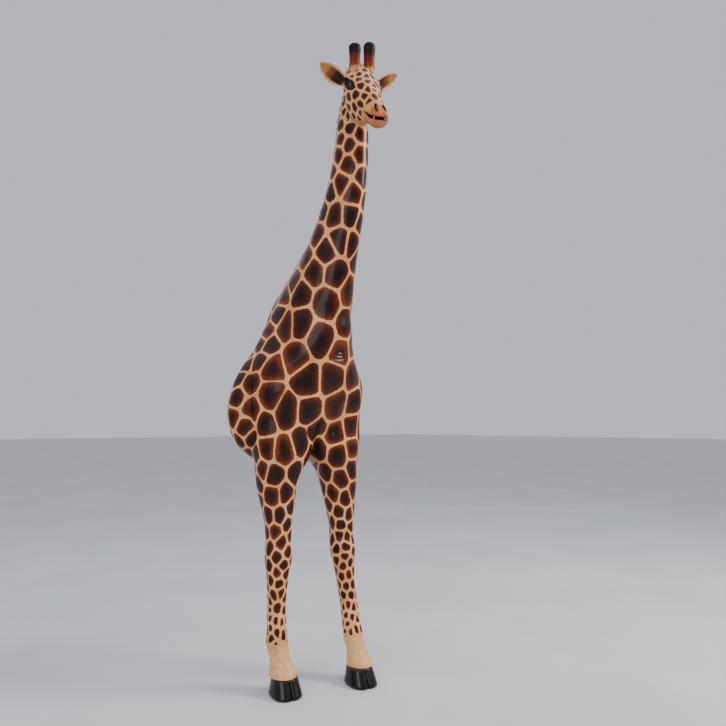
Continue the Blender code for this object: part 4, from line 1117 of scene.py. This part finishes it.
def build_ears():
    mat = ear_paint()
    rows = ((0.000, 0.016, 0.0150, 0.000), (0.14, 0.021, 0.0130, 0.002), (0.30, 0.034, 0.0085, 0.012),
            (0.48, 0.042, 0.0060, 0.018), (0.66, 0.040, 0.0050, 0.016), (0.82, 0.030, 0.0042, 0.010),
            (0.93, 0.017, 0.0034, 0.004), (0.985, 0.006, 0.0026, 0.001), (1.0, 0.002, 0.0015, 0.000))
    root, tip = Vector((0.052, -0.113, 2.817)), Vector((0.203, -0.136, 2.894))
    axis = (tip - root).normalized()
    broad = Vector((0, -0.80, 0.60)).normalized()
    broad = (broad - axis * broad.dot(axis)).normalized()
    facing = broad.cross(axis)
    if facing.y > 0:
        facing = -facing
    table = np.array(rows)
    for side, sign in (("right", -1), ("left", 1)):
        rings, cup_tint_and_shade = [], []
        sides = 64
        turn = ring_angles(sides)
        for reach in np.concatenate([np.linspace(0, 0.97, 60), [0.985, 0.995, 1.0]]):
            half, thick, bowl = (np.interp(reach, table[:, 0], table[:, k]) for k in (1, 2, 3))
            middle = root + (tip - root) * float(reach) - broad * float(0.004 * sin(reach * pi))
            across, through = half * np.cos(turn), thick * np.sin(turn)
            through = (through + bowl * (np.cos(turn) ** 2 - 0.5)
                       - 0.0035 * bell(np.cos(turn), 0.35) * bowl / 0.018)
            ring = (np.array(middle) + across[:, None] * np.array(broad)
                    + through[:, None] * np.array(facing))
            ring[:, 0] *= sign
            rings.append(moved(ring, PLACE))
            # the cup: deepest by the root, where the inside is darkened, partly as painted shade
            inside = step_up(np.sin(turn), 0.05, 0.5) * step_up(np.full(sides, reach), 0.12, 0.26)
            rim = 1 - step_up(np.abs(np.cos(turn)), 0.52, 0.84)
            fade = 1 - step_up(np.full(sides, reach), 0.22, 0.86)
            cup_tint_and_shade += list(inside * rim * (0.26 + 0.74 * fade))
        points, faces = tube(rings)
        mesh = make_mesh(side + "_ear_shell", points, faces)
        paint_layers(mesh, {"cup_tint_and_shade": cup_tint_and_shade})
        put(side + "_ear_shell", mesh, [mat], [side + "_ear"])


HORN_ROOT = 2.886                  # heights in the head's own frame
HORN_TOP = 3.003
HORN_PAINT_START = 2.868


def build_horns():
    mat = horn_paint()
    rows = ((0.034, 0.142, 2.846, 0.0285), (0.036, 0.154, 2.878, 0.0278), (0.037, 0.163, 2.914, 0.0255),
            (0.038, 0.171, 2.946, 0.0258), (0.0385, 0.1765, 2.968, 0.0280), (0.0385, 0.179, 2.983, 0.0278),
            (0.0385, 0.181, 2.994, 0.0232), (0.0385, 0.182, 3.001, 0.0135), (0.0385, 0.1825, 3.003, 0.0025))
    for side, sign in (("right", -1), ("left", 1)):
        squat = RIGHT_HORN_SQUAT if sign < 0 else 1
        stations = [(sign * x, f, HORN_ROOT + (h - HORN_ROOT) * (squat if h > HORN_ROOT else 1), r, r, 12)
                    for x, f, h, r in rows]
        rings = [section(s, 56) for s in resample(stations, 90)]
        points = np.concatenate(rings)
        centre = np.repeat(np.array([r.mean(0) for r in rings]), 56, axis=0)
        wobble = (1 + 0.018 * ripple(points * np.array([1, 1, 0.35]), 150, 21)
                  + 0.012 * ripple(points, 330, 22))
        points = centre + (points - centre) * wobble[:, None]
        faces = tube(rings)[1]
        top = HORN_ROOT + (HORN_TOP - HORN_ROOT) * squat
        rise = (points[:, 2] - HORN_PAINT_START) / (top - HORN_PAINT_START)
        mesh = make_mesh(side + "_ossicone_cast", moved(points, PLACE), faces)
        paint_layers(mesh, {"rise": np.clip(rise, 0, 1)})
        put(side + "_ossicone_cast", mesh, [mat], [side + "_ossicone"])


def build_eyes():
    mat = eye_paint()
    lid_mat = mane_paint("lid_paint", brown=0.01)
    centre = np.array(EYE)
    look = np.array((0.86, -0.50, -0.06))
    look = unit(look)
    slant = np.array((0.0, -0.62, -0.78))
    slant = slant - look * (slant @ look)
    slant = unit(slant)
    rise = np.cross(look, slant)
    if rise[2] < 0:
        rise = -rise
    for side, sign in (("right", -1), ("left", 1)):
        rings, iris = [], []
        for polar in np.concatenate([[0.02], np.linspace(0.08, pi - 0.08, 46), [pi - 0.02]]):
            turn = ring_angles(56)
            bulge = 1 + 0.05 * bell(polar, 0.5)
            ring = centre + EYE_RADIUS * bulge * (np.cos(polar) * look + np.sin(polar) * (
                np.cos(turn)[:, None] * slant + np.sin(turn)[:, None] * rise))
            ring[:, 0] *= sign
            rings.append(moved(ring, PLACE))
            iris += [float(step_up(np.array(polar), 0.34, 0.44)
                           * (1 - step_up(np.array(polar), 0.72, 0.82)))] * 56
        points, faces = tube(rings)
        mesh = make_mesh(side + "_eyeball", points, faces)
        paint_layers(mesh, {"iris": iris})
        put(side + "_eyeball", mesh, [mat], [side + "_eye"])
        lid(side + "_upper_lid", sign, centre, look, slant, rise, lid_mat, upper=True)
        lid(side + "_lower_lid", sign, centre, look, slant, rise, lid_mat, upper=False)


def lid(name, sign, centre, look, slant, rise, mat, upper):
    """Eyelid: a tapered roll that lies over the ball from corner to corner; the upper one is heavy."""
    steps, sides = 44, 16
    rings = []
    for t in np.linspace(0.0, 1.0, steps):
        sweep = (t - 0.5) * 2.2
        open_angle = (0.52 if upper else -0.58) * cos(sweep * 0.72) + (0.10 if upper else -0.02)
        direction = (cos(open_angle) * (cos(sweep) * look + sin(sweep) * slant) + sin(open_angle) * rise)
        direction = unit(direction)
        thick = (0.0062 if upper else 0.0036) * max(sin(pi * (0.04 + 0.92 * t)), 0.05) ** 0.6
        middle = centre + direction * (EYE_RADIUS * 1.02 + thick * 0.15)
        tangent = -sin(sweep) * look + cos(sweep) * slant
        tangent = unit(tangent)
        side_way = np.cross(direction, tangent)
        side_way = unit(side_way)
        turn = ring_angles(sides)
        ring = middle + thick * (np.cos(turn)[:, None] * direction * 0.75
                                 + np.sin(turn)[:, None] * side_way * 1.5)
        ring[:, 0] *= sign
        rings.append(moved(ring, PLACE))
    points, faces = tube(rings)
    mesh = make_mesh(name, points, faces)
    put(name, mesh, [mat])


def build_mouth():
    """Tongue and the two small teeth behind the lower lip."""
    tongue = simple_gloss("tongue_gloss", (0.10, 0.018, 0.014), (0.20, 0.045, 0.035), 60, 0.25, 0.4)
    tooth = simple_gloss("tooth_enamel", (0.66, 0.62, 0.50), (0.80, 0.77, 0.68), 90, 0.15, 0.25)
    rows = ((0, 0.202, 2.640, 0.014, 0.006, -50), (0, 0.234, 2.614, 0.020, 0.007, -50),
            (0, 0.257, 2.595, 0.020, 0.007, -50), (0, 0.272, 2.583, 0.011, 0.004, -50))
    points, faces = loft(rows, 40, 36)
    points[:, 2] -= 0.002 * bell(points[:, 0], 0.004)
    put("tongue_cast", make_mesh("tongue_cast", moved(points, PLACE), faces), [tongue], ["tongue"])
    for side, sign in (("right", -1), ("left", 1)):
        rows = [(sign * 0.0280, 0.274 + 0.002 * k, 2.586 + 0.0045 * k, r, r * 0.9, 0)
                for k, r in ((-1, 0.0034), (0, 0.0042), (1, 0.0038), (1.7, 0.0026), (2, 0.0010))]
        points, faces = loft(rows, 24, 24)
        put(side + "_tooth_cast", make_mesh(side + "_tooth_cast", moved(points, PLACE), faces),
            [tooth], [side + "_tooth"])


NAPE_STEPS = 400


def nape_line():
    """Points along the back of the neck, each with its outward direction."""
    rows = resample(TRUNK, NAPE_STEPS)
    lean = np.radians(rows[:, 5])
    back = np.stack([np.zeros(NAPE_STEPS), -(rows[:, 1] - rows[:, 4] * np.cos(lean)),
                     rows[:, 2] + rows[:, 4] * np.sin(lean)], 1)
    out = np.stack([np.zeros(NAPE_STEPS), np.cos(lean), np.sin(lean)], 1)
    return back, out


def mane_height(height):
    """The mane gets lower towards the head."""
    return 0.046 - 0.020 * float(np.clip((height - 2.1) / 0.6, 0, 1))


def build_mane():
    mat = mane_paint("mane_paint")
    back, out = nape_line()
    for name, low, high, node in (("torso_mane_tufts", 1.910, NECK_SEAM - 0.004, "torso_mane"),
                                  ("neck_mane_tufts", NECK_SEAM + 0.002, 2.835, "neck_mane")):
        rng = np.random.default_rng(5)
        span = [i for i in range(NAPE_STEPS) if low <= back[i, 2] <= high and back[i, 1] < -0.012]
        spine = []
        for i in span[::2]:
            turn = ring_angles(20)
            high_part = 0.76 * min(mane_height(back[i, 2]), -0.8 * back[i, 1])
            reach = np.where(np.sin(turn) > 0, high_part, 0.014) * np.sin(turn)
            slim = 0.016 * (1 - 0.45 * np.clip(reach / 0.04, 0, 1))
            ring = (back[i] + (slim * np.cos(turn))[:, None] * np.array((1, 0, 0)) + reach[:, None] * out[i])
            spine.append(ring)
        parts = [tube(spine)]
        length = np.linalg.norm(back[span[-1]] - back[span[0]])
        count = max(int(length / 0.0055), 4)
        for k in range(count):
            i = span[int(round(k / (count - 1) * (len(span) - 1)))]
            along = back[min(i + 1, NAPE_STEPS - 1)] - back[max(i - 1, 0)]
            along = unit(along)
            tall = min(mane_height(back[i, 2]) + rng.uniform(-0.005, 0.008), -0.8 * back[i, 1])
            lean = rng.uniform(0.1, 0.6)
            drift = rng.uniform(-0.35, 0.35)
            base = back[i] + out[i] * 0.002 + np.array((rng.uniform(-0.003, 0.003), 0, 0))
            rings = []
            for t in np.linspace(0, 1, 7):
                middle = (base + out[i] * tall * t - along * tall * lean * t**2 * 0.9
                          + np.array((drift * tall * t**2, 0, 0)))
                fat = (1 - t) ** 0.7
                turn = ring_angles(8)
                rings.append(middle + np.cos(turn)[:, None] * np.array((0.0085 * fat + 0.0004, 0, 0))
                             + np.sin(turn)[:, None] * along * (0.0100 * fat + 0.0005))
            parts.append(tube(rings))
        whole, faces = joined(parts)
        whole[:, 1] = np.minimum(whole[:, 1], -0.001)
        put(name, make_mesh(name, whole, faces), [mat], [node])


def finish_cad_nodes(raw):
    """The hanging gear and the frame keep their CAD shapes and get real finishes."""
    ply = wood_paint("birch_ply", (0.44, 0.29, 0.15), (0.60, 0.43, 0.25), "Z")
    rail = wood_paint("cleat_beech", (0.34, 0.19, 0.09), (0.50, 0.31, 0.16), "X")
    steel, zinc = steel_paint(), zinc_paint()
    finishes = {"back_board": ply, "neck_brace": ply, "wall_cleat": rail, "statue_cleat": rail}
    for name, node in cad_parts.items():
        if "sleeve" in name:
            mat = raw
        elif "bolt" in name or "screw" in name:
            mat = zinc
        else:
            mat = finishes.get(name, steel)
        for slot in node.material_slots:
            slot.material = mat


# ---- stage, light and camera ------------------------------------------------------------------------
def build_stage():
    p = Paint("studio_floor", roughness=0.6)
    p.colour(p.mix(p.span(p.noise(1.2, 3), 0.3, 0.7), (0.60, 0.60, 0.63), (0.66, 0.66, 0.69)))
    mesh = bpy.data.meshes.new("studio_floor")
    size = 60.0
    mesh.from_pydata([(-size, -size, FLOOR), (size, -size, FLOOR), (size, size, FLOOR),
                      (-size, size, FLOOR)], [], [(0, 1, 2, 3)])
    floor = bpy.data.objects.new("studio_floor", mesh)
    bpy.context.scene.collection.objects.link(floor)
    mesh.materials.append(p.mat)


def area_light(name, at, target, size, power, colour=(1, 1, 1)):
    data = bpy.data.lights.new(name, "AREA")
    data.shape = "RECTANGLE"
    data.size, data.size_y = size
    data.energy = power
    data.color = colour
    lamp = bpy.data.objects.new(name, data)
    bpy.context.scene.collection.objects.link(lamp)
    lamp.location = at
    lamp.rotation_euler = (Vector(target) - Vector(at)).to_track_quat("-Z", "Y").to_euler()


def build_light_and_camera():
    world = bpy.data.worlds.new("studio")
    bpy.context.scene.world = world
    world.use_nodes = True
    world.node_tree.nodes["Background"].inputs["Color"].default_value = (0.80, 0.80, 0.90, 1)
    world.node_tree.nodes["Background"].inputs["Strength"].default_value = 0.80
    middle = (0, -0.25, 0)
    area_light("key", (3.4, -3.4, 2.8), middle, (1.6, 2.4), 270, (1.0, 0.96, 0.92))
    area_light("fill", (-4.6, -2.6, 0.9), middle, (2.8, 2.8), 105, (0.94, 0.95, 1.0))
    area_light("top", (0.4, -1.2, 4.4), middle, (2.5, 2.5), 60)
    area_light("rim", (0.5, 4.2, 1.8), middle, (2.5, 2.5), 12, (0.9, 0.94, 1.0))
    data = bpy.data.cameras.new("photo_view")
    camera = bpy.data.objects.new("photo_view", data)
    bpy.context.scene.collection.objects.link(camera)
    data.sensor_width = 36.0
    data.lens = 30.74
    data.shift_x = 0.0096
    camera.location = (-1.872, -2.672, 1.220 - LIFT)
    camera.rotation_euler = (radians(90 + 5.756), 0, radians(-40.8))
    bpy.context.scene.camera = camera


build_light_and_camera()
build_stage()
raw_laminate = build_skins()
build_hooves()
build_ears()
build_horns()
build_eyes()
build_mouth()
build_mane()
finish_cad_nodes(raw_laminate)
